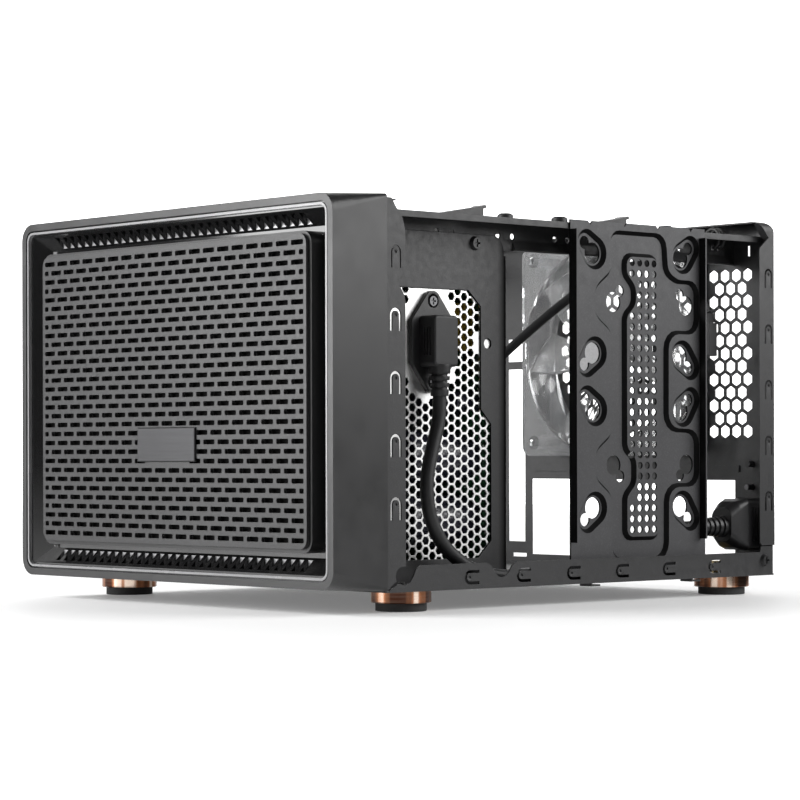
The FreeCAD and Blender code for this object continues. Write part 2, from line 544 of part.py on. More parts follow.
def keyhole(cb, rb, cs, rs, n=20):
    # union outline of a large and a small circle that meet
    d = math.hypot(cs[0] - cb[0], cs[1] - cb[1])
    a = math.atan2(cs[1] - cb[1], cs[0] - cb[0])
    x = (d * d + rb * rb - rs * rs) / (2 * d)
    hb = math.acos(x / rb)
    hs = math.acos((d - x) / rs)
    pts = []
    for k in range(n + 1):
        t = a + hb + (2 * math.pi - 2 * hb) * k / n
        pts.append((cb[0] + rb * math.cos(t), cb[1] + rb * math.sin(t)))
    m = max(6, n // 2)
    for k in range(1, m):
        t = a + math.pi + hs + (2 * math.pi - 2 * hs) * k / m
        pts.append((cs[0] + rs * math.cos(t), cs[1] + rs * math.sin(t)))
    return pts


DISH = [((24.0, 166.0), (18.3, 171.2)), ((90.3, 166.4), (96.1, 171.6)), ((24.1, 115.0), (18.3, 109.2)), ((24.3, 86.0), (18.5, 91.6)),
        ((89.7, 114.6), (96.1, 109.0)), ((90.3, 86.0), (96.1, 91.8)), ((24.1, 35.8), (18.4, 29.9)), ((89.8, 35.6), (95.9, 29.5))]
PLAIN = [((39.5, 141.6), (44.3, 147.5)), ((94.6, 141.4), (89.9, 147.0)), ((39.4, 57.6), (44.4, 51.9)), ((94.6, 57.8), (89.8, 52.2))]
top = [(Y0, dz1), (Y0, dz0), (107.2, dz0), (107.2, 18.6), (Y1, 18.6), (Y1, 177.4), (107.2, 177.4), (107.2, dz1)]
for y in (96.3, 71.3, 46.0, 20.7):
    top += [(y + 1.7, dz1), (y, dz1 - 2.0), (y - 1.7, dz1)]
dh = []
DPERF_Y, DPERF_P = (51.6, 57.2, 62.6, 68.0), 5.52
for r in range(26):
    z = 162.3 - r * DPERF_P
    for c, y in enumerate(DPERF_Y):
        if c == 0 and (r in (2, 3, 4) or 101.0 > 162.3 - z > 100.0):
            continue
        if c == 0 and r in (19, 20, 21, 22):
            continue
        dh.append(ngon(y, z, 1.9, 12, 15))
for cb, cs in PLAIN:
    dh.append(keyhole(cb, 5.2, cs, 3.1))
for cb, cs in DISH:
    dh.append(keyhole(cb, 5.5, cs, 3.4))
DPF = DP_X + DP_T                      # outer face of the plate
dplate = sheet("x", DP_X, DPF, top)
# side flanges turned outward
XT = XS - 0.9
fls = [box(DP_X, XT, Y0, Y0 + DP_T, 18.6, 177.4), box(DP_X, XT, Y1 - DP_T, Y1, 18.6, 177.4)]
# a channel and eight keyhole dishes pressed inward, with walls at 45 degrees
PRESS = 2.0


def grown(pts, d):
    # outline moved outward by d, corner by corner (inward when d is below zero)
    pts = ccw(pts)
    out = []
    m = len(pts)
    for i in range(m):
        p0, p, p1 = pts[i - 1], pts[i], pts[(i + 1) % m]
        ax, ay = p[0] - p0[0], p[1] - p0[1]
        bx, by = p1[0] - p[0], p1[1] - p[1]
        la, lb = math.hypot(ax, ay), math.hypot(bx, by)
        n0, n1 = (ay / la, -ax / la), (by / lb, -bx / lb)
        k = d / (1.0 + n0[0] * n1[0] + n0[1] * n1[1])
        out.append((p[0] + k * (n0[0] + n1[0]), p[1] + k * (n0[1] + n1[1])))
    return out


def frustum(p0, x0, p1, x1):
    # solid between two outlines with matching corners, on planes x0 and x1
    a = [V(x0, *p) for p in p0]
    b = [V(x1, *p) for p in p1]
    m = len(a)
    fs = [Part.Face(Part.makePolygon(a + [a[0]])), Part.Face(Part.makePolygon(b + [b[0]]))]
    for i in range(m):
        j = (i + 1) % m
        fs.append(Part.Face(Part.makePolygon([a[i], a[j], b[j], b[i], a[i]])))
    s = Part.Solid(Part.Shell(fs))
    if s.Volume < 0:
        s.reverse()
    return s


def pressed(pts):
    # what a pressed-in outline takes from the outer face, and what it adds behind
    q = math.sqrt(2.0)
    hollow = frustum(grown(pts, 0.5), DPF + 0.5, grown(pts, -PRESS), DPF - PRESS)
    behind = frustum(grown(pts, q - 0.5), DPF - 0.5, grown(pts, q - DP_T - PRESS), DPF - DP_T - PRESS)
    return hollow, behind


def standing(pts):
    # the same for an island left standing in a pressed-in area
    q = math.sqrt(2.0)
    island = frustum(grown(pts, -0.7), DPF + 0.7, grown(pts, PRESS + 0.2), DPF - PRESS - 0.2)
    under = frustum(grown(pts, DP_T - q), DPF - DP_T, grown(pts, DP_T + PRESS + 0.5 - q), DPF - DP_T - PRESS - 0.5)
    return island, under


def two_circles(c1, r1, c2, r2, n=14):
    # convex outline of two circles
    a = math.atan2(c2[1] - c1[1], c2[0] - c1[0])
    ph = math.acos((r1 - r2) / math.hypot(c2[0] - c1[0], c2[1] - c1[1]))
    pts = []
    for k in range(n + 1):
        t = a + ph + (2 * math.pi - 2 * ph) * k / n
        pts.append((c1[0] + r1 * math.cos(t), c1[1] + r1 * math.sin(t)))
    for k in range(n + 1):
        t = a - ph + 2 * ph * k / n
        pts.append((c2[0] + r2 * math.cos(t), c2[1] + r2 * math.sin(t)))
    return pts


def smooth(pts, n=4):
    # corner points replaced by short arcs; each entry is (y, z, radius)
    out = []
    m = len(pts)
    for i in range(m):
        p0, p, p1 = pts[i - 1], pts[i], pts[(i + 1) % m]
        r = p[2]
        if r <= 0:
            out.append((p[0], p[1]))
            continue
        a = V(p0[0] - p[0], p0[1] - p[1], 0)
        b = V(p1[0] - p[0], p1[1] - p[1], 0)
        la, lb = a.Length, b.Length
        a, b = a * (1 / la), b * (1 / lb)
        ang = math.acos(max(-1, min(1, a.dot(b))))
        t = min(r / math.tan(ang / 2), 0.48 * la, 0.48 * lb)
        r = t * math.tan(ang / 2)
        bis = (a + b)
        bis = bis * (1 / bis.Length)
        c = V(p[0], p[1], 0) + bis * (r / math.sin(ang / 2))
        s = V(p[0], p[1], 0) + a * t
        e = V(p[0], p[1], 0) + b * t
        t0 = math.atan2(s.y - c.y, s.x - c.x)
        t1 = math.atan2(e.y - c.y, e.x - c.x)
        d = t1 - t0
        while d > math.pi:
            d -= 2 * math.pi
        while d < -math.pi:
            d += 2 * math.pi
        for k in range(n + 1):
            q = t0 + d * k / n
            out.append((c.x + r * math.cos(q), c.y + r * math.sin(q)))
    return out


BO = smooth([(35.6, 7.8, 9.5), (35.6, 42.0, 5), (24.2, 50.5, 9), (24.2, 65.5, 9), (35.6, 73.5, 5), (35.6, 126.0, 5), (24.0, 134.0, 9), (24.0, 149.0, 9),
             (35.6, 157.5, 5), (35.6, 178.4, 6), (77.2, 178.4, 8), (78.8, 158.4, 9), (87.0, 154.7, 9), (102.6, 154.7, 8), (102.6, 126.2, 8), (79.2, 126.2, 8),
             (79.0, 77.0, 8), (102.6, 76.2, 8), (102.6, 46.0, 8), (79.2, 46.0, 8), (79.0, 7.8, 9.5)])
BI = smooth([(47.6, 20.6, 4), (47.6, 41.5, 6), (54.5, 48.0, 8), (54.5, 61.0, 8), (47.6, 66.5, 6), (47.6, 134.5, 6), (54.5, 140.5, 8), (54.5, 150.0, 8),
             (47.6, 156.5, 6), (47.6, 165.3, 5), (71.4, 165.3, 5), (71.4, 20.6, 4)])
hollow, behind = pressed(BO)
island, under = standing(BI)
hollows, backs = [hollow.cut(island)], [behind.cut(under)]
for cb, cs in DISH:
    a, b = pressed(two_circles(cb, 8.5, cs, 6.8))
    hollows.append(a)
    backs.append(b)
dplate = fuse(dplate, *(fls + backs))
dplate = dplate.cut(hollows)
dplate = dplate.cut(comp([Part.Face(poly([(DPF - 4.0, a, b) for a, b in h])).extrude(V(5.0, 0, 0)) for h in dh]))
put("drive_plate", dplate)

# ------------------------------------------------------------------ power supply
AC = PSU_X1 - T
hx = []
for c in range(20):
    y = PSU_Y1 - 9.2 - 4.37 * c + 4.6
    for r in range(30):
        z = PSU_Z0 + 4.2 + 5.05 * r + (2.525 if c % 2 else 0)
        if z > PSU_Z1 - 3.6 or y < PSU_Y0 + 17.4 or y > PSU_Y1 - 3.2:
            continue
        if abs(y - INL_Y) < 17.0 and abs(z - INL_Z) < 28.5 and abs(y - INL_Y) < 17.0 - max(0.0, abs(z - INL_Z) - 14) * 0.55:
            continue
        if y > -40.0 and abs(z - 119.0) < 5.6:
            continue
        if math.hypot(y + 102, z - 10.4) < 4.5 or math.hypot(y + 102, z - 147.6) < 4.5:
            continue
        hx.append(ngon(y, z, 3.95 / math.sqrt(3), 6, 0))
hx.append(rrect(INL_Y - 9.8, INL_Y + 9.8, INL_Z - 14.2, INL_Z + 14.2, 0.4, 2))
for z in (INL_Z - 20, INL_Z + 20):
    hx.append(ngon(INL_Y, z, 1.8, 12))
hx += [ngon(-102.0, 10.4, 1.6, 12), ngon(-102.0, 147.6, 1.6, 12)]
acf = sheet("x", AC, PSU_X1, rect(PSU_Y0, PSU_Y1, PSU_Z0, PSU_Z1), hx)
back = box(PSU_X0, PSU_X1, PSU_Y1 - T, PSU_Y1, PSU_Z0, PSU_Z1)
far = sheet("x", PSU_X0, PSU_X0 + T, rect(PSU_Y0, PSU_Y1, PSU_Z0, PSU_Z1), [ngon(-52.0, 122.0, 11.0, 24)])
psu_base = fuse(acf, back, far)
put("psu_base", psu_base)
PFX, PFZ = 29.2, 79.0
cov = sheet("y", PSU_Y0, PSU_Y0 + T, rect(PSU_X0 + T, AC, PSU_Z0, PSU_Z1), [ngon(PFX, PFZ, 57.0, 48)] +
            [ngon(PFX + a * 52.5, PFZ + b * 52.5, 2.2, 12) for a in (-1, 1) for b in (-1, 1)])
ctop = box(PSU_X0 + T, AC, PSU_Y0, PSU_Y1 - T, PSU_Z1 - T, PSU_Z1)
cbot = box(PSU_X0 + T, AC, PSU_Y0, PSU_Y1 - T, PSU_Z0, PSU_Z0 + T)
put("psu_cover", fuse(cov, ctop, cbot))


def fan(cx, y0, cz, stator_front, nb, hub_r=19.5):
    # square fan with its axis along y, from y0 to y0 + FAN_T; returns frame and rotor
    h = FAN / 2.0
    fr = sheet("y", y0, y0 + 3.6, rrect(cx - h, cx + h, cz - h, cz + h, 6.0, 4))
    fr2 = sheet("y", y0 + FAN_T - 3.6, y0 + FAN_T, rrect(cx - h, cx + h, cz - h, cz + h, 6.0, 4))
    tube = cyl((cx, y0, cz), (0, 1, 0), 59.7, FAN_T)
    posts = [cyl((cx + a * 52.5, y0, cz + b * 52.5), (0, 1, 0), 4.2, FAN_T) for a in (-1, 1) for b in (-1, 1)]
    frame = fr.fuse([fr2, tube] + posts)
    frame = frame.cut([cyl((cx, y0 - 1, cz), (0, 1, 0), 57.6, FAN_T + 2)] +
                      [cyl((cx + a * 52.5, y0 - 1, cz + b * 52.5), (0, 1, 0), 2.15, FAN_T + 2) for a in (-1, 1) for b in (-1, 1)])
    ys = y0 if stator_front else y0 + FAN_T - 3.0
    st = [cyl((cx, ys, cz), (0, 1, 0), hub_r, 3.0)]
    for k in range(4):
        b = box(cx + hub_r - 2, cx + 58.2, ys, ys + 3.0, cz - 1.8, cz + 1.8)
        b.rotate(V(cx, 0, cz), V(0, 1, 0), 35 + 90 * k)
        st.append(b)
    # bearing post that the rotor turns on
    st.append(cyl((cx, ys + 3.0, cz) if stator_front else (cx, ys, cz), (0, 1, 0) if stator_front else (0, -1, 0), 3.0, 12.0))
    frame = frame.fuse(st).removeSplitter()
    ra = y0 + 3.8 if stator_front else y0 + 1.2
    rb = y0 + FAN_T - 1.2 if stator_front else y0 + FAN_T - 3.8
    hub = cyl((cx, ra, cz), (0, 1, 0), hub_r, rb - ra)
    if stator_front:
        hub = hub.cut(cyl((cx, ra - 0.1, cz), (0, 1, 0), 3.4, 12.6))
    else:
        hub = hub.cut(cyl((cx, rb + 0.1, cz), (0, -1, 0), 3.4, 12.6))
    ym = (ra + rb) / 2.0
    blades = []
    for k in range(nb):
        ws = []
        for r, hc, pitch, tw, sw in ((hub_r - 1.5, 11.0, 52, 2.0, 0.0), (37.0, 13.5, 44, 1.8, 5.0), (55.6, 16.5, 37, 1.4, 13.0)):
            p = math.radians(pitch)
            # chord along the turning direction (x) and the axis (y)
            hc = min(hc, (rb - ra) / 2.0 / math.sin(p) - 0.9)
            cxv, cyv = math.cos(p), math.sin(p)
            nx, ny = -cyv, cxv
            pts = []
            for s, q in ((-1, -1), (1, -1), (1, 1), (-1, 1)):
                pts.append(V(s * hc * cxv + q * tw / 2 * nx + sw, s * hc * cyv + q * tw / 2 * ny, r))
            ws.append(Part.makePolygon(pts + [pts[0]]))
        bl = Part.makeLoft(ws, True, True)
        bl.translate(V(cx, ym, cz))
        bl.rotate(V(cx, ym, cz), V(0, 1, 0), 360.0 * k / nb)
        blades.append(bl)
    # trim blades to the swept cylinder
    env = cyl((cx, ra, cz), (0, 1, 0), 56.6, rb - ra)
    blades = [b.common(env) for b in blades]
    rotor = hub.fuse(blades).removeSplitter()
    return frame, rotor


pf, pr = fan(PFX, PSU_Y0 + T, PFZ, False, 9)
put("psu_fan_frame", pf)
put("psu_fan_rotor", pr)
gr = [cyl((PFX, PSU_Y0 - 1.6, PFZ), (0, 1, 0), r + 1.1, 1.6).cut(cyl((PFX, PSU_Y0 - 2, PFZ), (0, 1, 0), r - 1.1, 3)) for r in (14.0, 25.0, 36.0, 47.0, 57.6)]
for k in range(2):
    b = box(PFX - 74.2, PFX + 74.2, PSU_Y0 - 1.6, PSU_Y0, PFZ - 1.3, PFZ + 1.3)
    b.rotate(V(PFX, 0, PFZ), V(0, 1, 0), 45 + 90 * k)
    gr.append(b)
guard = gr[0].fuse(gr[1:]).removeSplitter()
guard = guard.cut([cyl((PFX + a * 52.5, PSU_Y0 - 3, PFZ + b * 52.5), (0, 1, 0), 0.9, 6) for a in (-1, 1) for b in (-1, 1)])
put("psu_fan_guard", guard)


def inlet_body(cy, cz):
    # appliance inlet along +x: flange with screw ears, body, hollow for the plug, three blades
    x0 = PSU_X1
    ear = [(5.2 * math.cos(math.radians(a)), 20.0 + 5.2 * math.sin(math.radians(a))) for a in range(27, 154, 18)]
    half = [(14.0, 10.5)] + ear + [(-14.0, 10.5)]
    fl = [(cy + a, cz + b) for a, b in half] + [(cy - a, cz - b) for a, b in half]
    f = sheet("x", x0, x0 + 3.0, fl, [ngon(cy, cz - 20, 1.9, 14), ngon(cy, cz + 20, 1.9, 14)])
    b = box(x0 - 20.0, x0 + 0.5, cy - 9.6, cy + 9.6, cz - 13.9, cz + 13.9)
    s = fuse(f, b)
    s = s.cut([box(x0 - 15.0, x0 + 4.0, cy - 8.0, cy + 8.0, cz - 12.2, cz + 12.2)] +
              [cyl((x0 + 1.4, cy, cz + d), (1, 0, 0), 3.4, 3.0) for d in (-20, 20)])
    pins = [box(x0 - 15.2, x0 - 1.0, cy - 1.0, cy + 1.0, cz + d - 2.0, cz + d + 2.0) for d in (-7.0, 7.0)]
    pins.append(box(x0 - 15.2, x0 - 1.0, cy + 2.2, cy + 4.2, cz - 2.0, cz + 2.0))
    return fuse(s, *pins)


put("psu_inlet", inlet_body(INL_Y, INL_Z))
# supply inside: board, heat sinks, transformers, capacitors
pcb = box(-36.0, 96.0, -27.4, -25.8, 9.0, 149.0)
pcb = pcb.cut([box(76.0, 97.0, -28, -25, 104.0, 134.0)])
pst = [cyl((x, -25.9, z), (0, 1, 0), 2.4, 5.1) for x in (-30.0, 90.0) for z in (15.0, 143.0)]
put("psu_pcb", fuse(pcb, *pst))
hs = []
for x0 in (-8.0, 48.0):
    pl = box(x0, x0 + 3.0, -77.4, -27.4, 20.0, 96.0)
    fins = [box(x0 - 7.0, x0 + 0.5, -77.4, -75.4 + 0.0, 20.0 + 9.2 * k, 22.0 + 9.2 * k) for k in range(9)]
    fins += [box(x0 - 7.0, x0 + 0.5, -77.4, -45.0, 20.0 + 9.2 * k, 21.4 + 9.2 * k) for k in range(9)]
    hs.append(fuse(pl, *fins))
put("psu_heatsinks", comp(hs))
tr = []
for x, z, a, b, hgt in ((20.0, 46.0, 34.0, 38.0, 36.0), (20.0, 88.0, 22.0, 24.0, 28.0), (72.0, 128.0, 26.0, 24.0, 24.0)):
    core = box(x - a / 2, x + a / 2, -27.4 - hgt, -27.4, z - b / 2, z + b / 2)
    core = core.cut([box(x - a / 2 - 1, x - a / 2 + 4, -27.4 - hgt + 5, -33, z - b / 2 - 1, z + b / 2 + 1),
                     box(x + a / 2 - 4, x + a / 2 + 1, -27.4 - hgt + 5, -33, z - b / 2 - 1, z + b / 2 + 1)])
    tr.append(core)
put("psu_transformers", comp(tr))
cp = [cyl((x, -27.4, z), (0, -1, 0), r, h) for x, z, r, h in (
    (78.0, 30.0, 13.0, 44.0), (78.0, 62.0, 13.0, 44.0), (74.0, 88.0, 6.5, 22.0), (-24.0, 30.0, 5.0, 24.0), (-24.0, 44.0, 5.0, 24.0),
    (-24.0, 60.0, 6.5, 26.0), (-24.0, 78.0, 5.0, 22.0), (88.0, 90.0, 5.0, 18.0), (-24.0, 96.0, 5.0, 22.0))]
put("psu_capacitors", comp(cp))
gm = fuse(cyl((PSU_X0 - 2.0, -52.0, 122.0), (1, 0, 0), 13.0, 2.0), cyl((PSU_X0 - 2.0, -52.0, 122.0), (1, 0, 0), 10.6, 5.0))
gm = gm.cut(cyl((PSU_X0 - 3.0, -52.0, 122.0), (1, 0, 0), 8.6, 8.0))
put("psu_grommet", gm)
# pads under the supply
pads = [box(x - 8, x + 8, y - 6, y + 6, TRAY_T + 1.0 if x > 70 else TRAY_T, PSU_Z0) for x, y in ((84.0, -90.0), (84.0, -36.0), (-28.0, -102.0), (-28.0, -30.0))]
put("psu_pads", comp(pads))


def screw(c, d, r, hh, shank_r, L):
    # pan head standing on c, shank going along -d; cross recess
    c, d = V(*c), V(*d)
    hd = Part.makeCone(r, r * 0.78, hh, c, d)
    sh = Part.makeCylinder(shank_r, L, c - d * L, d)
    s = hd.fuse([sh])
    u = V(0, 0, 1) if abs(d.z) < 0.5 else V(1, 0, 0)
    w = d.cross(u)
    cuts = []
    for a, b in ((u, w), (w, u)):
        o = c + d * (hh * 0.45)
        p = [o + a * (r * 0.55) + b * (r * 0.14), o - a * (r * 0.55) + b * (r * 0.14), o - a * (r * 0.55) - b * (r * 0.14), o + a * (r * 0.55) - b * (r * 0.14)]
        cuts.append(Part.Face(Part.makePolygon(p + [p[0]])).extrude(d * hh))
    return s.cut(cuts)


put("psu_screws", comp([screw((BX1, -102.0, z), (1, 0, 0), 3.4, 2.0, 1.5, 5.0) for z in (10.4, 147.6)]))

# ------------------------------------------------------------------ supply plug, lead and rear inlet
PX = PSU_X1 + 3.0
nose = box(PX - 17.0, PX + 2.0, INL_Y - 7.6, INL_Y + 7.6, INL_Z - 11.8, INL_Z + 11.8)
nose = nose.cut([box(PX - 18.0, PX - 2.5, INL_Y - 1.4, INL_Y + 1.4, INL_Z + d - 2.4, INL_Z + d + 2.4) for d in (-7.0, 7.0)] +
                [box(PX - 18.0, PX - 2.5, INL_Y + 1.8, INL_Y + 4.6, INL_Z - 2.4, INL_Z + 2.4)])
pbody = box(PX, PX + 11.2, INL_Y - 9.4, INL_Y + 6.8, INL_Z - 12.6, INL_Z + 12.6)
pbody = pbody.makeFillet(2.4, [e for e in pbody.Edges if abs(e.Vertexes[0].X - e.Vertexes[1].X) > 5])
pbody = pbody.makeFillet(1.4, [e for e in pbody.Edges if e.BoundBox.XMin > PX + 11.1])
CORD_D = 6.8
CX0, CY0 = PX + 7.2, INL_Y - 2.6
sr = cone((CX0, CY0, INL_Z - 11.5), (0, 0, -1), 5.6, 4.4, 15.5)
sr = sr.cut([cyl((CX0, CY0, INL_Z - 16.0 - 3.2 * k), (0, 0, -1), 7, 1.3).cut(cyl((CX0, CY0, INL_Z - 15 - 3.2 * k), (0, 0, -1), 3.9, 4)) for k in range(3)])
# grip grooves in the plug's front side
pbody = pbody.cut([box(PX + 3.4 + d, PX + 4.4 + d, INL_Y - 10.0, INL_Y - 8.7, INL_Z - 7.0, INL_Z + 7.0) for d in (0.0, 2.0, 4.0)])
put("power_plug", fuse(nose, pbody, sr))
CZ_TOP = INL_Z - 27.0

RB = (RIN_X, RIN_Z)
rfl = sheet("y", YR, YR + 2.2, [(RIN_X - 11.0, RIN_Z - 12.5), (RIN_X - 5.4, RIN_Z - 24.4), (RIN_X + 5.4, RIN_Z - 24.4), (RIN_X + 11.0, RIN_Z - 12.5),
                                (RIN_X + 11.0, RIN_Z + 12.5), (RIN_X + 5.4, RIN_Z + 24.4), (RIN_X - 5.4, RIN_Z + 24.4), (RIN_X - 11.0, RIN_Z + 12.5)],
            [ngon(RIN_X, RIN_Z - 20, 1.9, 14), ngon(RIN_X, RIN_Z + 20, 1.9, 14)])
rbody = rr_prism(142.0, YR + 0.2, RIN_X - 9.4, RIN_X + 9.4, RIN_Z - 13.8, RIN_Z + 13.8, 2.6)
rmid = Part.makeLoft([rr_wire(142.4, RIN_X - 9.4, RIN_X + 9.4, RIN_Z - 13.8, RIN_Z + 13.8, 2.6),
                      rr_wire(136.4, RIN_X - 8.6, RIN_X + 8.6, RIN_Z - 12.4, RIN_Z + 12.4, 4.6),
                      rr_wire(131.0, RIN_X - 7.0, RIN_X + 7.0, RIN_Z - 9.2, RIN_Z + 9.2, 5.6)], True, True)
RCZ = RIN_Z - 1.0
rsr = cone((RIN_X, 132.0, RCZ), (0, -1, 0), 5.8, 4.4, 18.0)
rsr = rsr.cut([cyl((RIN_X, 128.6 - 3.6 * k, RCZ), (0, -1, 0), 7, 1.5).cut(cyl((RIN_X, 129 - 3.6 * k, RCZ), (0, -1, 0), 4.0, 3)) for k in range(4)])
rin = fuse(rfl, rbody, rmid, rsr)
ribs = [box(RIN_X + 8.7, RIN_X + 10.0, 145.4 + 2.2 * k, 146.4 + 2.2 * k, RIN_Z - 9.0, RIN_Z + 9.0) for k in range(4)]
rin = rin.cut(ribs + [box(RIN_X - 8.0, RIN_X + 8.0, 149.0, YR + 3, RIN_Z - 12.2, RIN_Z + 12.2)])
pins = [box(RIN_X - 1.0, RIN_X + 1.0, 148.8, YR - 1.0, RIN_Z + d - 2.0, RIN_Z + d + 2.0) for d in (-7.0, 7.0)]
pins.append(box(RIN_X + 2.2, RIN_X + 4.2, 148.8, YR - 1.0, RIN_Z - 2.0, RIN_Z + 2.0))
rin = fuse(rin, *pins)
put("rear_inlet", rin)
put("inlet_screws", comp([screw((RIN_X, YR + 2.2, RIN_Z + d), (0, 1, 0), 2.9, 1.6, 1.5, 8.0) for d in (-20.0, 20.0)] +
                         [screw((PSU_X1 + 1.4, INL_Y, INL_Z + d), (1, 0, 0), 3.1, 1.8, 1.5, 8.0) for d in (-20.0, 20.0)]))


def tube(name, pts, d, print_r=True):
    # tube along straight runs joined by tangent arcs, as large as the runs allow
    P = [V(*p) for p in pts]
    n = len(P)
    edges = []
    last = P[0]
    length = 0.0
    radii = []
    for i in range(1, n - 1):
        a = P[i - 1] - P[i]
        b = P[i + 1] - P[i]
        la, lb = a.Length, b.Length
        ua, ub = a * (1 / la), b * (1 / lb)
        ang = math.acos(max(-1.0, min(1.0, ua.dot(ub))))
        turn = math.pi - ang
        t = 0.45 * min(la, lb)
        r = t / math.tan(turn / 2)
        radii.append(round(r, 1))
        s, e = P[i] + ua * t, P[i] + ub * t
        bis = ua + ub
        bis = bis * (1 / bis.Length)
        cc = P[i] + bis * (r / math.cos(turn / 2))
        m = cc - bis * r
        if (s - last).Length > 1e-6:
            edges.append(Part.LineSegment(last, s).toShape())
            length += (s - last).Length
        edges.append(Part.Arc(s, m, e).toShape())
        length += r * turn
        last = e
    edges.append(Part.LineSegment(last, P[-1]).toShape())
    length += (P[-1] - last).Length
    path = Part.Wire(edges)
    prof = Part.Wire([Part.Circle(P[0], (P[1] - P[0]).normalize(), d / 2.0).toShape()])
    s = path.makePipeShell([prof], True, False)
    print(name, "length %.1f" % length, "radii", radii, "volume/expected %.4f" % (s.Volume / (math.pi * d * d / 4 * length)))
    return s


PCORD = [(CX0, CY0, CZ_TOP), (CX0, CY0 - 0.3, 80.0), (CX0 + 1.0, CY0 - 6.0, 66.0), (CX0 + 2.0, CY0 - 11.0, 50.0), (CX0 + 2.8, CY0 - 9.6, 33.0),
         (CX0 + 3.2, CY0 - 1.0, 18.5), (CX0 + 3.6, INL_Y + 12.0, 7.6), (CX0 + 3.6, INL_Y + 31.0, 2.7), (CX0 + 2.6, INL_Y + 52.0, 2.5), (CX0 + 3.4, INL_Y + 80.0, 2.7),
         (CX0 + 2.4, INL_Y + 108.0, 2.5), (CX0 + 3.2, INL_Y + 134.0, 5.5), (RIN_X - 0.2, INL_Y + 151.0, 15.5), (RIN_X, 98.0, RCZ), (RIN_X, 114.0, RCZ)]
pc = tube("power_cable", PCORD, CORD_D)
put("power_cable", pc)

# ------------------------------------------------------------------ rear fan
ff, fr_ = fan(RF_X, YR - T - FAN_T, RF_Z, False, 7)
put("rear_fan_frame", ff)
put("rear_fan_rotor", fr_)
put("rear_fan_label", cyl((RF_X, YR - T - FAN_T + 1.2, RF_Z), (0, -1, 0), 17.0, 0.25))
put("rear_fan_screws", comp([screw((x, YR, z), (0, 1, 0), 3.6, 1.8, 2.1, 9.0) for x, z in FSC]))

# ------------------------------------------------------------------ front panel lead, tied at the top rail
FCORD = [(IOB_X + 1.6, -137.0, 62.0), (-98.0, -137.0, 62.0), (-83.0, -128.0, 60.0), (-72.0, -106.0, 54.0), (-65.0, -78.0, 47.0), (-58.0, -44.0, 43.0), (-45.0, -14.0, 46.0),
         (-24.0, 2.0, 58.0), (-2.0, 14.0, 79.0), (20.0, 36.5, 104.0), (41.0, 66.0, 136.5), (56.0, 86.0, 156.0), (72.0, 102.5, 166.0), (87.0, 115.5, 166.0), (98.5, 124.5, 157.5),
         (104.0, 128.0, 140.0)]
fc = tube("front_panel_cable", FCORD, 5.0)
put("front_panel_cable", fc)
hp = box(99.0, 109.0, 125.0, 131.0, 116.0, 134.0)
hp = fuse(hp, box(101.0, 107.0, 125.6, 130.4, 133.0, 139.0))
hp = hp.cut([box(100.2, 107.8, 126.2, 129.8, 115.0, 125.0)])
put("header_plug", hp)

# cable ties: one loop round the lead, and two spare loops threaded round the rail's inner corner
ties = [Part.makeTorus(3.4, 0.7, V(64.0, 94.25, 161.0), V(16.0, 16.5, 10.0))]
ties += [Part.makeTorus(TIE_R, 0.95, V(WX - 0.4, y, TOP_Z - 0.4), V(0, 1, 0)) for y in TIE_Y]
put("cable_tie", comp(ties))

# ------------------------------------------------------------------ standoffs, feet, screws
so = []
for x, y in STAND:
    s = Part.Face(poly([(a, b, TRAY_T) for a, b in ngon(x, y, 5.5 / math.sqrt(3), 6, 30)])).extrude(V(0, 0, 6.35))
    s = s.fuse(cyl((x, y, TRAY_T), (0, 0, -1), 1.7, 1.2))
    so.append(s.cut(cyl((x, y, TRAY_T + 6.35), (0, 0, -1), 1.4, 5.4)))
put("standoffs", comp(so))
rings, rub, fsc = [], [], []
for sx in (-1, 1):
    for fy in (FOOT_YF, FOOT_YR):
        x = sx * FOOT_X
        r = cyl((x, fy, TRAY_B), (0, 0, -1), 14.8, 5.9)
        r = r.makeFillet(0.7, [e for e in r.Edges if e.BoundBox.ZMax < TRAY_B - 5.5 and len(e.Vertexes) == 1])
        r = r.cut([cyl((x, fy, TRAY_B + 1), (0, 0, -1), 2.1, 12), cyl((x, fy, TRAY_B - 3.4), (0, 0, -1), 11.6, 4)])
        rings.append(r)
        p = cyl((x, fy, TRAY_B - 3.4), (0, 0, -1), 11.4, 3.0)
        p = p.fuse(cyl((x, fy, TRAY_B - 5.9), (0, 0, -1), 12.5, FLOOR * -1 + TRAY_B - 5.9)).removeSplitter()
        p = p.cut([cyl((x, fy, FLOOR - 1), (0, 0, 1), 5.0, 4.4), cyl((x, fy, FLOOR - 1), (0, 0, 1), 2.2, 20)])
        rub.append(p)
        fsc.append(cyl((x, fy, TRAY_T + 3.0), (0, 0, -1), 1.9, TRAY_T + 3.0 - FLOOR - 3.0).fuse(cyl((x, fy, FLOOR + 3.4), (0, 0, -1), 4.0, 2.0)))
put("foot_rings", comp(rings))
put("foot_pads", comp(rub))
put("foot_screws", comp(fsc))
cs = [screw((BX1, -40.0, 169.0), (1, 0, 0), 3.6, 2.0, 1.6, 4.0)]
cs += [screw((s * XS, 148.6, 6.0), (s, 0, 0), 3.4, 1.8, 2.0, 2.4) for s in (-1, 1)]
cs += [screw((RIN_X, YR, 57.7), (0, 1, 0), 2.9, 1.4, 1.7, 5.0)]
put("case_screws", comp(cs))
print(len(OUT), "nodes")
bad = [o for o in OUT if not o[2] or o[1] < 1]
print("not valid:", bad)
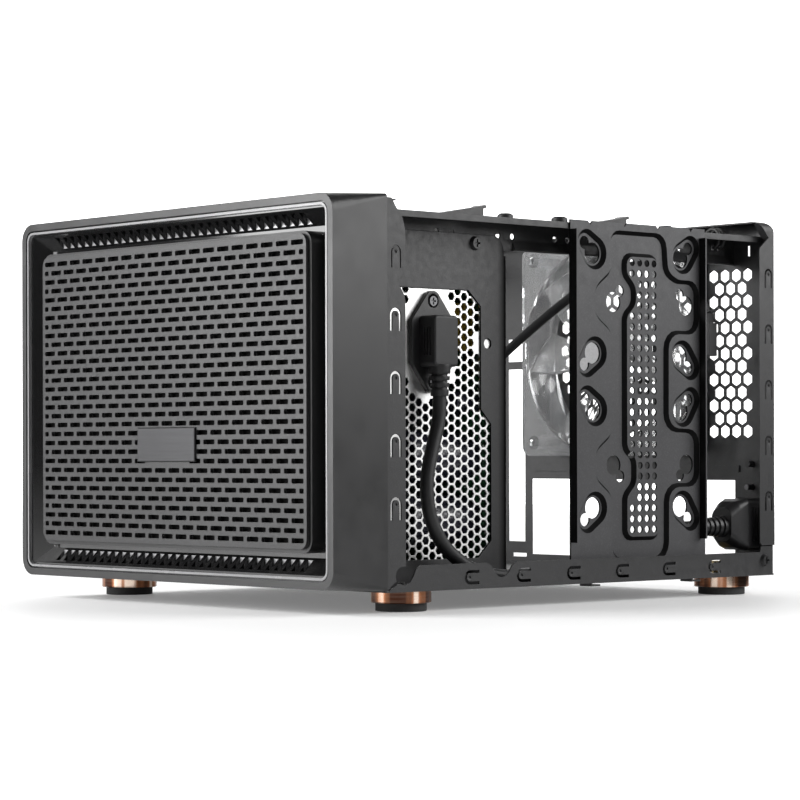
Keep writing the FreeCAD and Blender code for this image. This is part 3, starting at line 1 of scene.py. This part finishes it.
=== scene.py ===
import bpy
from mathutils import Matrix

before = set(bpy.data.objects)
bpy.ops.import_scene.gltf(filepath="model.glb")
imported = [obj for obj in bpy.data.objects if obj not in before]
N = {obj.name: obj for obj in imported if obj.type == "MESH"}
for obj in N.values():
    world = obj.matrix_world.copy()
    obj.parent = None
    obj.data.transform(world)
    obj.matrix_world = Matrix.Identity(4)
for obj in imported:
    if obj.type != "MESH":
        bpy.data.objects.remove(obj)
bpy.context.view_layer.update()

import math

import bpy
from mathutils import Matrix, Vector

# the part's own offsets from the working frame its sizes are given in (mm)
OX, OY, OZ = 0.05, -1.3, 12.0


def P(x, y, z):
    return Vector(((x + OX) / 1000.0, (y + OY) / 1000.0, (z + OZ) / 1000.0))


# ------------------------------------------------------------------ materials


def start(name):
    m = bpy.data.materials.new(name)
    m.use_nodes = True
    nt = m.node_tree
    nt.nodes.clear()
    out = nt.nodes.new("ShaderNodeOutputMaterial")
    b = nt.nodes.new("ShaderNodeBsdfPrincipled")
    nt.links.new(b.outputs["BSDF"], out.inputs["Surface"])
    tc = nt.nodes.new("ShaderNodeTexCoord")
    return m, nt, b, tc.outputs["Object"]


def noise(nt, vec, scale, detail=4.0, rough=0.55, stretch=None):
    if stretch is not None:
        mp = nt.nodes.new("ShaderNodeMapping")
        mp.inputs["Scale"].default_value = stretch
        nt.links.new(vec, mp.inputs["Vector"])
        vec = mp.outputs["Vector"]
    n = nt.nodes.new("ShaderNodeTexNoise")
    n.inputs["Scale"].default_value = scale
    n.inputs["Detail"].default_value = detail
    n.inputs["Roughness"].default_value = rough
    nt.links.new(vec, n.inputs["Vector"])
    return n.outputs["Fac"]


def remap(nt, v, a, b, lo, hi):
    r = nt.nodes.new("ShaderNodeMapRange")
    r.inputs["From Min"].default_value = a
    r.inputs["From Max"].default_value = b
    r.inputs["To Min"].default_value = lo
    r.inputs["To Max"].default_value = hi
    nt.links.new(v, r.inputs["Value"])
    return r.outputs["Result"]


def mix(nt, fac, a, b):
    n = nt.nodes.new("ShaderNodeMix")
    n.data_type = "RGBA"
    if isinstance(fac, float):
        n.inputs[0].default_value = fac
    else:
        nt.links.new(fac, n.inputs[0])
    for i, c in ((6, a), (7, b)):
        if isinstance(c, (tuple, list)):
            n.inputs[i].default_value = (c[0], c[1], c[2], 1.0)
        else:
            nt.links.new(c, n.inputs[i])
    return n.outputs[2]


def tint(c, k):
    return tuple(min(1.0, x * k) for x in c)


def bump(nt, b, h, strength, dist):
    n = nt.nodes.new("ShaderNodeBump")
    n.inputs["Strength"].default_value = strength
    n.inputs["Distance"].default_value = dist
    nt.links.new(h, n.inputs["Height"])
    nt.links.new(n.outputs["Normal"], b.inputs["Normal"])


def dusty(nt, col, amount, vec, dust=(0.32, 0.31, 0.30)):
    # a trace of dust on faces that look up
    g = nt.nodes.new("ShaderNodeNewGeometry")
    s = nt.nodes.new("ShaderNodeSeparateXYZ")
    nt.links.new(g.outputs["Normal"], s.inputs["Vector"])
    up = remap(nt, s.outputs["Z"], 0.55, 1.0, 0.0, 1.0)
    n = noise(nt, vec, 70.0, 5.0, 0.65)
    n = remap(nt, n, 0.42, 0.75, 0.0, amount)
    mu = nt.nodes.new("ShaderNodeMath")
    mu.operation = "MULTIPLY"
    nt.links.new(up, mu.inputs[0])
    nt.links.new(n, mu.inputs[1])
    return mix(nt, mu.outputs[0], col, dust)


def coat(b, w, r, spec=0.5):
    b.inputs["Coat Weight"].default_value = w
    b.inputs["Coat Roughness"].default_value = r
    b.inputs["Specular IOR Level"].default_value = spec


def moulded(name, col, rough, grain=2600.0, var=0.10, rvar=0.10, bs=0.16, bd=0.00012, spec=0.5, dust=0.10, cloud=22.0):
    # injection-moulded plastic: spark-eroded grain, slight flow clouding, faint dust
    m, nt, b, v = start(name)
    c = remap(nt, noise(nt, v, cloud, 5.0), 0.3, 0.7, 0.0, 1.0)
    col_n = mix(nt, c, tint(col, 1 - var), tint(col, 1 + var))
    g = noise(nt, v, grain, 3.0, 0.6)
    col_n = mix(nt, remap(nt, g, 0.35, 0.7, 0.0, 0.35), col_n, tint(col, 1.35))
    nt.links.new(dusty(nt, col_n, dust, v), b.inputs["Base Color"])
    r = remap(nt, noise(nt, v, cloud * 3.0, 4.0), 0.3, 0.7, rough - rvar * 0.5, rough + rvar * 0.5)
    nt.links.new(r, b.inputs["Roughness"])
    bump(nt, b, g, bs, bd)
    b.inputs["Specular IOR Level"].default_value = spec
    return m


def facing(nt, axis, a, b, out="True Normal"):
    # 1 where the surface turns away from the given axis, 0 where it faces along it
    g = nt.nodes.new("ShaderNodeNewGeometry")
    s = nt.nodes.new("ShaderNodeSeparateXYZ")
    nt.links.new(g.outputs[out], s.inputs["Vector"])
    ab = nt.nodes.new("ShaderNodeMath")
    ab.operation = "ABSOLUTE"
    nt.links.new(s.outputs[axis], ab.inputs[0])
    return remap(nt, ab.outputs[0], a, b, 1.0, 0.0)


def powder(name, col, rough=0.48, grain=1500.0, bs=0.30, bd=0.00018, spec=0.5, dust=0.05, metal=0.0, painted_shade_walls=None, painted_shade_roll=None, painted_shade_span=None):
    # powder-coated sheet: orange peel at two scales, faint dust, and fine lighter flecks that are painted glints
    # standing in for sparkle
    m, nt, b, v = start(name)
    big = noise(nt, v, 260.0, 3.0, 0.5)
    fine = noise(nt, v, grain, 3.0, 0.6)
    c = remap(nt, noise(nt, v, 9.0, 5.0), 0.3, 0.7, 0.0, 1.0)
    col_n = mix(nt, c, tint(col, 0.88), tint(col, 1.14))
    # painted glints: fine lighter flecks in the colour stand in for sparkle
    col_n = mix(nt, remap(nt, fine, 0.52, 0.78, 0.0, 0.55), col_n, tint(col, 1.9))
    col_n = dusty(nt, col_n, dust, v)
    b.inputs["Specular IOR Level"].default_value = spec
    if painted_shade_walls is not None:
        # painted shade: the pressed walls, picked out by their normal, are coloured near-black and dulled to stand in
        # for the shade they lie in
        w = facing(nt, painted_shade_walls, 0.95, 0.988)
        col_n = mix(nt, w, col_n, tint(col, 0.11))
        nt.links.new(remap(nt, w, 0.0, 1.0, spec, 0.07), b.inputs["Specular IOR Level"])
    if painted_shade_roll is not None:
        # painted shade: where the rolled edge turns away from the face, and over a band of Y running up to the roll,
        # the colour is darkened and dulled to stand in for shade
        w = facing(nt, painted_shade_roll, 0.62, 0.985, "Normal")
        g = nt.nodes.new("ShaderNodeNewGeometry")
        s = nt.nodes.new("ShaderNodeSeparateXYZ")
        nt.links.new(g.outputs["Position"], s.inputs["Vector"])
        mx = nt.nodes.new("ShaderNodeMath")
        mx.operation = "MAXIMUM"
        nt.links.new(w, mx.inputs[0])
        nt.links.new(remap(nt, s.outputs["Y"], painted_shade_span[0], painted_shade_span[1], 0.0, 1.0), mx.inputs[1])
        w = mx.outputs[0]
        col_n = mix(nt, w, col_n, tint(col, 0.12))
        nt.links.new(remap(nt, w, 0.0, 1.0, spec, 0.03), b.inputs["Specular IOR Level"])
    nt.links.new(col_n, b.inputs["Base Color"])
    r = remap(nt, big, 0.3, 0.7, rough - 0.06, rough + 0.07)
    nt.links.new(r, b.inputs["Roughness"])
    ad = nt.nodes.new("ShaderNodeMath")
    ad.operation = "ADD"
    nt.links.new(fine, ad.inputs[0])
    nt.links.new(big, ad.inputs[1])
    bump(nt, b, ad.outputs[0], bs, bd)
    b.inputs["Metallic"].default_value = metal
    return m


def gloss(name, col, rough=0.10, coat_w=0.6, spec=0.5, dust=0.10, painted_lit_ends=None):
    m, nt, b, v = start(name)
    c = remap(nt, noise(nt, v, 30.0, 5.0), 0.3, 0.7, 0.0, 1.0)
    col_n = mix(nt, c, tint(col, 0.85), tint(col, 1.2))
    col_n = dusty(nt, col_n, dust, v)
    if painted_lit_ends is not None:
        # painted highlight: the end walls of the slots, at one depth, are coloured bright grey to stand in for light
        # falling on them
        g = nt.nodes.new("ShaderNodeNewGeometry")
        s = nt.nodes.new("ShaderNodeSeparateXYZ")
        nt.links.new(g.outputs["Position"], s.inputs["Vector"])
        cp = nt.nodes.new("ShaderNodeMath")
        cp.operation = "COMPARE"
        cp.inputs[1].default_value = painted_lit_ends
        cp.inputs[2].default_value = 0.00035
        nt.links.new(s.outputs["Y"], cp.inputs[0])
        fr = nt.nodes.new("ShaderNodeMath")
        fr.operation = "SUBTRACT"
        fr.inputs[0].default_value = 1.0
        nt.links.new(facing(nt, "Y", 0.80, 0.95), fr.inputs[1])
        mu = nt.nodes.new("ShaderNodeMath")
        mu.operation = "MULTIPLY"
        nt.links.new(cp.outputs[0], mu.inputs[0])
        nt.links.new(fr.outputs[0], mu.inputs[1])
        col_n = mix(nt, mu.outputs[0], col_n, (0.36, 0.36, 0.37))
    nt.links.new(col_n, b.inputs["Base Color"])
    smear = noise(nt, v, 18.0, 6.0, 0.6, (1.0, 1.0, 3.0))
    nt.links.new(remap(nt, smear, 0.35, 0.7, rough, rough + 0.06), b.inputs["Roughness"])
    bump(nt, b, noise(nt, v, 60.0, 2.0), 0.02, 0.0001)
    coat(b, coat_w, 0.06, spec)
    return m


def metal(name, col, rough=0.3, brush=None, spangle=0.0, var=0.12, bs=0.12, bd=0.00008, aniso=0.0):
    # bare or plated metal: brushing along one axis or galvanised spangle
    m, nt, b, v = start(name)
    b.inputs["Metallic"].default_value = 1.0
    b.inputs["Anisotropic"].default_value = aniso
    if brush is not None:
        s = noise(nt, v, 900.0, 5.0, 0.6, brush)
    else:
        s = noise(nt, v, 600.0, 4.0, 0.6)
    c = remap(nt, s, 0.3, 0.7, 0.0, 1.0)
    col_n = mix(nt, c, tint(col, 1 - var), tint(col, 1 + var))
    if spangle > 0:
        vo = nt.nodes.new("ShaderNodeTexVoronoi")
        vo.inputs["Scale"].default_value = 160.0
        nt.links.new(v, vo.inputs["Vector"])
        bw = nt.nodes.new("ShaderNodeRGBToBW")
        nt.links.new(vo.outputs["Color"], bw.inputs["Color"])
        col_n = mix(nt, remap(nt, bw.outputs["Val"], 0.2, 0.8, 0.0, spangle), col_n, tint(col, 0.72))
    tarn = remap(nt, noise(nt, v, 26.0, 5.0), 0.4, 0.75, 0.0, 0.35)
    col_n = mix(nt, tarn, col_n, tint(col, 0.80))
    nt.links.new(col_n, b.inputs["Base Color"])
    nt.links.new(remap(nt, s, 0.3, 0.7, rough - 0.05, rough + 0.08), b.inputs["Roughness"])
    bump(nt, b, s, bs, bd)
    return m


def turned_grain_painted_reflections(name, dark, mid, light):
    # polished ring: upright streaks of dark and near-white copper are painted reflections, over a fine turned grain
    m, nt, b, v = start(name)
    b.inputs["Metallic"].default_value = 1.0
    st = noise(nt, v, 95.0, 2.0, 0.5, (1.0, 1.0, 0.0))
    fine = noise(nt, v, 700.0, 3.0, 0.6, (0.05, 0.05, 1.0))
    col_n = mix(nt, remap(nt, st, 0.44, 0.53, 0.0, 1.0), dark, mid)
    col_n = mix(nt, remap(nt, st, 0.53, 0.58, 0.0, 1.0), col_n, light)
    col_n = mix(nt, remap(nt, fine, 0.3, 0.7, 0.0, 0.10), col_n, tint(light, 0.7))
    nt.links.new(col_n, b.inputs["Base Color"])
    nt.links.new(remap(nt, fine, 0.3, 0.7, 0.08, 0.16), b.inputs["Roughness"])
    bump(nt, b, fine, 0.03, 0.00005)
    return m


def clear(name, col, rough=0.06, trans=0.9):
    # clear moulded plastic with flow lines and a slight haze
    m, nt, b, v = start(name)
    c = remap(nt, noise(nt, v, 60.0, 4.0, 0.5, (1.0, 0.4, 1.0)), 0.35, 0.7, 0.0, 1.0)
    nt.links.new(mix(nt, c, tint(col, 0.92), tint(col, 1.06)), b.inputs["Base Color"])
    b.inputs["Transmission Weight"].default_value = trans
    b.inputs["IOR"].default_value = 1.49
    nt.links.new(remap(nt, noise(nt, v, 140.0, 4.0), 0.3, 0.7, rough, rough + 0.08), b.inputs["Roughness"])
    bump(nt, b, noise(nt, v, 180.0, 3.0), 0.12, 0.0003)
    return m


def rubber(name, col, rough=0.62, grain=1800.0, rings=None):
    m, nt, b, v = start(name)
    g = noise(nt, v, grain, 3.0, 0.6)
    c = remap(nt, noise(nt, v, 45.0, 5.0), 0.3, 0.7, 0.0, 1.0)
    col_n = mix(nt, c, tint(col, 0.8), tint(col, 1.3))
    nt.links.new(dusty(nt, col_n, 0.16, v), b.inputs["Base Color"])
    nt.links.new(remap(nt, g, 0.3, 0.7, rough - 0.08, rough + 0.08), b.inputs["Roughness"])
    bump(nt, b, g, 0.25, 0.00012)
    b.inputs["Specular IOR Level"].default_value = 0.4
    return m


def board(name):
    # coated circuit board: green mask, tracks as straight bands, solder dots
    m, nt, b, v = start(name)
    w = nt.nodes.new("ShaderNodeTexWave")
    w.bands_direction = "Z"
    w.inputs["Scale"].default_value = 120.0
    w.inputs["Distortion"].default_value = 3.0
    nt.links.new(v, w.inputs["Vector"])
    tr = remap(nt, w.outputs["Fac"], 0.55, 0.6, 0.0, 0.6)
    col_n = mix(nt, tr, (0.012, 0.06, 0.026), (0.03, 0.15, 0.06))
    vo = nt.nodes.new("ShaderNodeTexVoronoi")
    vo.inputs["Scale"].default_value = 260.0
    nt.links.new(v, vo.inputs["Vector"])
    dots = remap(nt, vo.outputs["Distance"], 0.18, 0.22, 1.0, 0.0)
    nt.links.new(mix(nt, dots, col_n, (0.5, 0.5, 0.48)), b.inputs["Base Color"])
    nt.links.new(remap(nt, dots, 0.0, 1.0, 0.35, 0.22), b.inputs["Roughness"])
    bump(nt, b, dots, 0.4, 0.0003)
    return m


M = {
    "bezel": moulded("bezel_plastic", (0.019, 0.019, 0.0195), 0.35, spec=0.5, dust=0.025),
    "lip": moulded("lip_bright", (0.22, 0.22, 0.224), 0.24, grain=1800, var=0.04, bs=0.02, spec=0.6, dust=0.0),
    "filter": moulded("filter_black", (0.004, 0.004, 0.004), 0.85, grain=2200, bs=0.5, bd=0.0003, spec=0.15, dust=0.0),
    # the surround's slot end walls carry a painted highlight
    "surround": gloss("surround_gloss", (0.008, 0.008, 0.0083), 0.06, 0.2, painted_lit_ends=P(0.0, -147.8, 0.0).y),
    "carrier": moulded("carrier_black", (0.010, 0.010, 0.0105), 0.40, dust=0.05),
    "mesh": powder("mesh_paint", (0.031, 0.031, 0.032), 0.36, bs=0.18, spec=0.40, dust=0.0),
    "badge": metal("badge_metal", (0.060, 0.060, 0.062), 0.42, brush=(0.04, 1.0, 1.0)),
    "button": moulded("button_black", (0.03, 0.03, 0.03), 0.35),
    "board": board("board_green"),
    "shell": metal("shell_steel", (0.60, 0.60, 0.61), 0.28, brush=(1.0, 0.1, 1.0)),
    "jack": moulded("jack_black", (0.016, 0.016, 0.017), 0.40, grain=1700, dust=0.06),
    "chassis": powder("chassis_black", (0.025, 0.025, 0.026), 0.44),
    # the drive plate's pressed walls carry painted shade
    "plate": powder("drive_plate_black", (0.060, 0.060, 0.063), 0.44, spec=0.36, painted_shade_walls="X"),
    # the bracket's rolled edge carries painted shade
    "bracket": powder("bracket_black", (0.026, 0.026, 0.027), 0.44, painted_shade_roll="X", painted_shade_span=(P(0.0, -24.2, 0.0).y, P(0.0, -19.4, 0.0).y)),
    "screw_black": moulded("screw_black", (0.014, 0.014, 0.015), 0.38, grain=1500, dust=0.0),
    "screw": metal("screw_steel", (0.58, 0.58, 0.58), 0.30),
    "screw_dark": metal("screw_dark", (0.14, 0.14, 0.145), 0.34),
    "zinc": metal("psu_steel", (0.86, 0.86, 0.85), 0.42, brush=(1.0, 1.0, 0.12), spangle=0.35),
    "chrome": metal("wire_chrome", (0.72, 0.72, 0.73), 0.14, var=0.05),
    "fan_black": moulded("fan_black", (0.02, 0.02, 0.021), 0.38),
    "clear": clear("fan_clear", (0.97, 0.98, 0.99), 0.02, 0.78),
    "clear_frame": clear("fan_clear_frame", (0.97, 0.98, 0.99), 0.02, 0.82),
    "label": moulded("label_paper", (0.45, 0.45, 0.46), 0.5, grain=900),
    "alu": metal("heatsink_alu", (0.62, 0.62, 0.63), 0.36, brush=(1.0, 1.0, 0.1)),
    "winding": moulded("winding_yellow", (0.42, 0.30, 0.05), 0.45, grain=700, var=0.3),
    "cap": gloss("cap_sleeve", (0.02, 0.02, 0.035), 0.22, 0.3),
    "cord": rubber("cord_black", (0.016, 0.016, 0.017), 0.50),
    "plug": rubber("plug_black", (0.020, 0.020, 0.021), 0.46),
    "pad": rubber("pad_rubber", (0.018, 0.018, 0.018), 0.70),
    # the copper ring's streaks are painted reflections
    "copper": turned_grain_painted_reflections("copper_chrome", (0.045, 0.013, 0.006), (0.42, 0.165, 0.075), (1.0, 0.80, 0.66)),
    "brass": metal("standoff_brass", (0.70, 0.52, 0.22), 0.25),
    "nylon": moulded("tie_nylon", (0.03, 0.03, 0.03), 0.45),
}

WEAR = {
    "front_bezel": "bezel", "trim_ring": "lip", "vent_surround": "surround", "mesh_carrier": "carrier", "dust_filter": "filter", "front_mesh": "mesh", "badge_plate": "badge",
    "power_button": "button", "reset_button": "button", "io_board": "board", "usb_sockets": "shell", "audio_jacks": "jack",
    "front_plate": "chassis", "base_tray": "chassis", "rear_panel": "chassis", "top_rail_right": "chassis", "top_rail_left": "chassis",
    "psu_bracket": "bracket", "drive_plate": "plate", "case_screws": "screw_black",
    "psu_base": "zinc", "psu_cover": "zinc", "psu_fan_guard": "chrome", "psu_fan_frame": "fan_black", "psu_fan_rotor": "fan_black", "psu_inlet": "jack",
    "psu_pcb": "board", "psu_heatsinks": "alu", "psu_transformers": "winding", "psu_capacitors": "cap", "psu_grommet": "pad", "psu_pads": "pad",
    "psu_screws": "screw", "power_plug": "plug", "power_cable": "cord", "rear_inlet": "jack", "inlet_screws": "screw_dark",
    "rear_fan_frame": "clear_frame", "rear_fan_rotor": "clear", "rear_fan_label": "label", "rear_fan_screws": "screw_black",
    "front_panel_cable": "cord", "header_plug": "jack", "cable_tie": "nylon", "standoffs": "brass",
    "foot_rings": "copper", "foot_pads": "pad", "foot_screws": "screw",
}
for n, k in WEAR.items():
    o = N[n]
    o.data.materials.clear()
    o.data.materials.append(M[k])

# rounded edges: width in mm per node
EDGE = {
    "front_bezel": 0.45, "vent_surround": 0.20, "mesh_carrier": 0.30, "badge_plate": 0.15, "front_mesh": 0.12,
    "front_plate": 0.24, "base_tray": 0.24, "rear_panel": 0.18, "top_rail_right": 0.24, "top_rail_left": 0.24, "psu_bracket": 0.40, "drive_plate": 0.38,
    "psu_base": 0.10, "psu_cover": 0.2, "psu_inlet": 0.25, "rear_inlet": 0.25, "power_plug": 0.35, "header_plug": 0.2,
    "rear_fan_frame": 0.3, "rear_fan_rotor": 0.3, "psu_fan_frame": 0.3, "foot_pads": 0.3,
}
for n, w in EDGE.items():
    o = N[n]
    weld = o.modifiers.new("weld", "WELD")
    weld.merge_threshold = 0.000002
    bv = o.modifiers.new("edge", "BEVEL")
    bv.width = w / 1000.0
    bv.segments = 2
    bv.limit_method = "ANGLE"
    bv.angle_limit = math.radians(40)
    bv.use_clamp_overlap = True
    bv.harden_normals = False
    wn = o.modifiers.new("flat", "WEIGHTED_NORMAL")
    wn.mode = "FACE_AREA"
    wn.weight = 50

# ------------------------------------------------------------------ floor, light, camera
sc = bpy.context.scene


def plane(name, size, loc, rot, mat):
    s = size / 2.0
    me = bpy.data.meshes.new(name)
    me.from_pydata([(-s, -s, 0), (s, -s, 0), (s, s, 0), (-s, s, 0)], [], [(0, 1, 2, 3)])
    o = bpy.data.objects.new(name, me)
    o.location = loc
    o.rotation_euler = rot
    me.materials.append(mat)
    sc.collection.objects.link(o)
    return o


fm, nt, b, v = start("floor")
nt.links.new(mix(nt, remap(nt, noise(nt, v, 3.0), 0.3, 0.7, 0.0, 1.0), (0.90, 0.90, 0.90), (0.93, 0.93, 0.93)), b.inputs["Base Color"])
b.inputs["Roughness"].default_value = 0.55
b.inputs["Specular IOR Level"].default_value = 0.05
b.inputs["Emission Color"].default_value = (1.0, 1.0, 1.0, 1.0)
# the floor's glow is weaker near the object and stronger further out: painted shade around the object's base
tl = nt.nodes.new("ShaderNodeVectorMath")
tl.operation = "LENGTH"
nt.links.new(v, tl.inputs[0])
nt.links.new(remap(nt, tl.outputs["Value"], 0.25, 0.60, 0.165, 0.40), b.inputs["Emission Strength"])
plane("floor", 9.0, (0, 0, -0.0002), (0, 0, 0), fm)

wd = bpy.data.worlds.new("studio")
sc.world = wd
wd.use_nodes = True
bg = wd.node_tree.nodes["Background"]
bg.inputs["Color"].default_value = (1.0, 1.0, 1.0, 1.0)
bg.inputs["Strength"].default_value = 0.06

# lit white paper behind the object, as far as the camera sees
bm, nt, b, v = start("backdrop")
b.inputs["Base Color"].default_value = (0.9, 0.9, 0.9, 1.0)
b.inputs["Emission Color"].default_value = (1.0, 1.0, 1.0, 1.0)
b.inputs["Emission Strength"].default_value = 1.7
AZ = math.radians(48.258)
fwd = Vector((-math.sin(AZ), math.cos(AZ), 0.0))
bd = plane("backdrop", 3.0, fwd * 2.6 + Vector((0.0, 0.0, 1.45)), (math.radians(90), 0, AZ), bm)


def area(name, loc, target, sx, sy, radiance, col=(1, 1, 1)):
    d = bpy.data.lights.new(name, "AREA")
    d.shape = "RECTANGLE"
    d.size, d.size_y = sx, sy
    d.energy = radiance * math.pi * sx * sy
    d.color = col
    o = bpy.data.objects.new(name, d)
    o.location = loc
    o.rotation_euler = (Vector(target) - Vector(loc)).to_track_quat("-Z", "Y").to_euler()
    sc.collection.objects.link(o)
    return o


area("left_soft", (-0.52, -1.05, 0.52), (0.0, -0.16, 0.16), 0.84, 0.98, 8.4)
area("right_soft", (0.76, 0.52, 0.56), (0.12, 0.0, 0.36), 0.95, 0.76, 4.4)

# dark card on the floor beside the object, out of the camera's view, so the lower sides fall off
km, nt, b, v = start("dark_card")
nt.links.new(mix(nt, remap(nt, noise(nt, v, 40.0), 0.3, 0.7, 0.0, 1.0), (0.010, 0.010, 0.010), (0.016, 0.016, 0.016)), b.inputs["Base Color"])
b.inputs["Roughness"].default_value = 0.9
side = Vector((math.cos(AZ), math.sin(AZ), 0.0))
me = bpy.data.meshes.new("dark_card")
me.from_pydata([Vector((1.106, -0.989, 0.002)) + fwd * d + side * w for d, w in ((0.45, 0.080), (0.45, 1.5), (2.1, 1.5), (2.1, 0.345))], [], [(0, 1, 2, 3)])
me.materials.append(km)
card = bpy.data.objects.new("dark_card", me)
sc.collection.objects.link(card)

cam = bpy.data.cameras.new("camera")
co = bpy.data.objects.new("camera", cam)
sc.collection.objects.link(co)
sc.camera = co
F_PX, CY = 2760.1, 453.12
az, roll = math.radians(48.258), math.radians(-0.132)
cam.sensor_fit = "HORIZONTAL"
cam.sensor_width = 36.0
cam.lens = F_PX * 36.0 / 800.0
cam.shift_y = (CY - 400.0) / 800.0
cam.clip_start, cam.clip_end = 0.05, 50.0
back = Vector((math.sin(az), -math.cos(az), 0.0))
right = Vector((math.cos(az), math.sin(az), 0.0))
up = Vector((0.0, 0.0, 1.0))
cr, sr = math.cos(roll), math.sin(roll)
R2 = right * cr + up * sr
U2 = up * cr - right * sr
loc = P(1105.83, -987.77, 64.09)
co.matrix_world = Matrix(((R2.x, U2.x, back.x, loc.x), (R2.y, U2.y, back.y, loc.y), (R2.z, U2.z, back.z, loc.z), (0, 0, 0, 1)))

sc.view_settings.view_transform = "Standard"
sc.view_settings.look = "None"
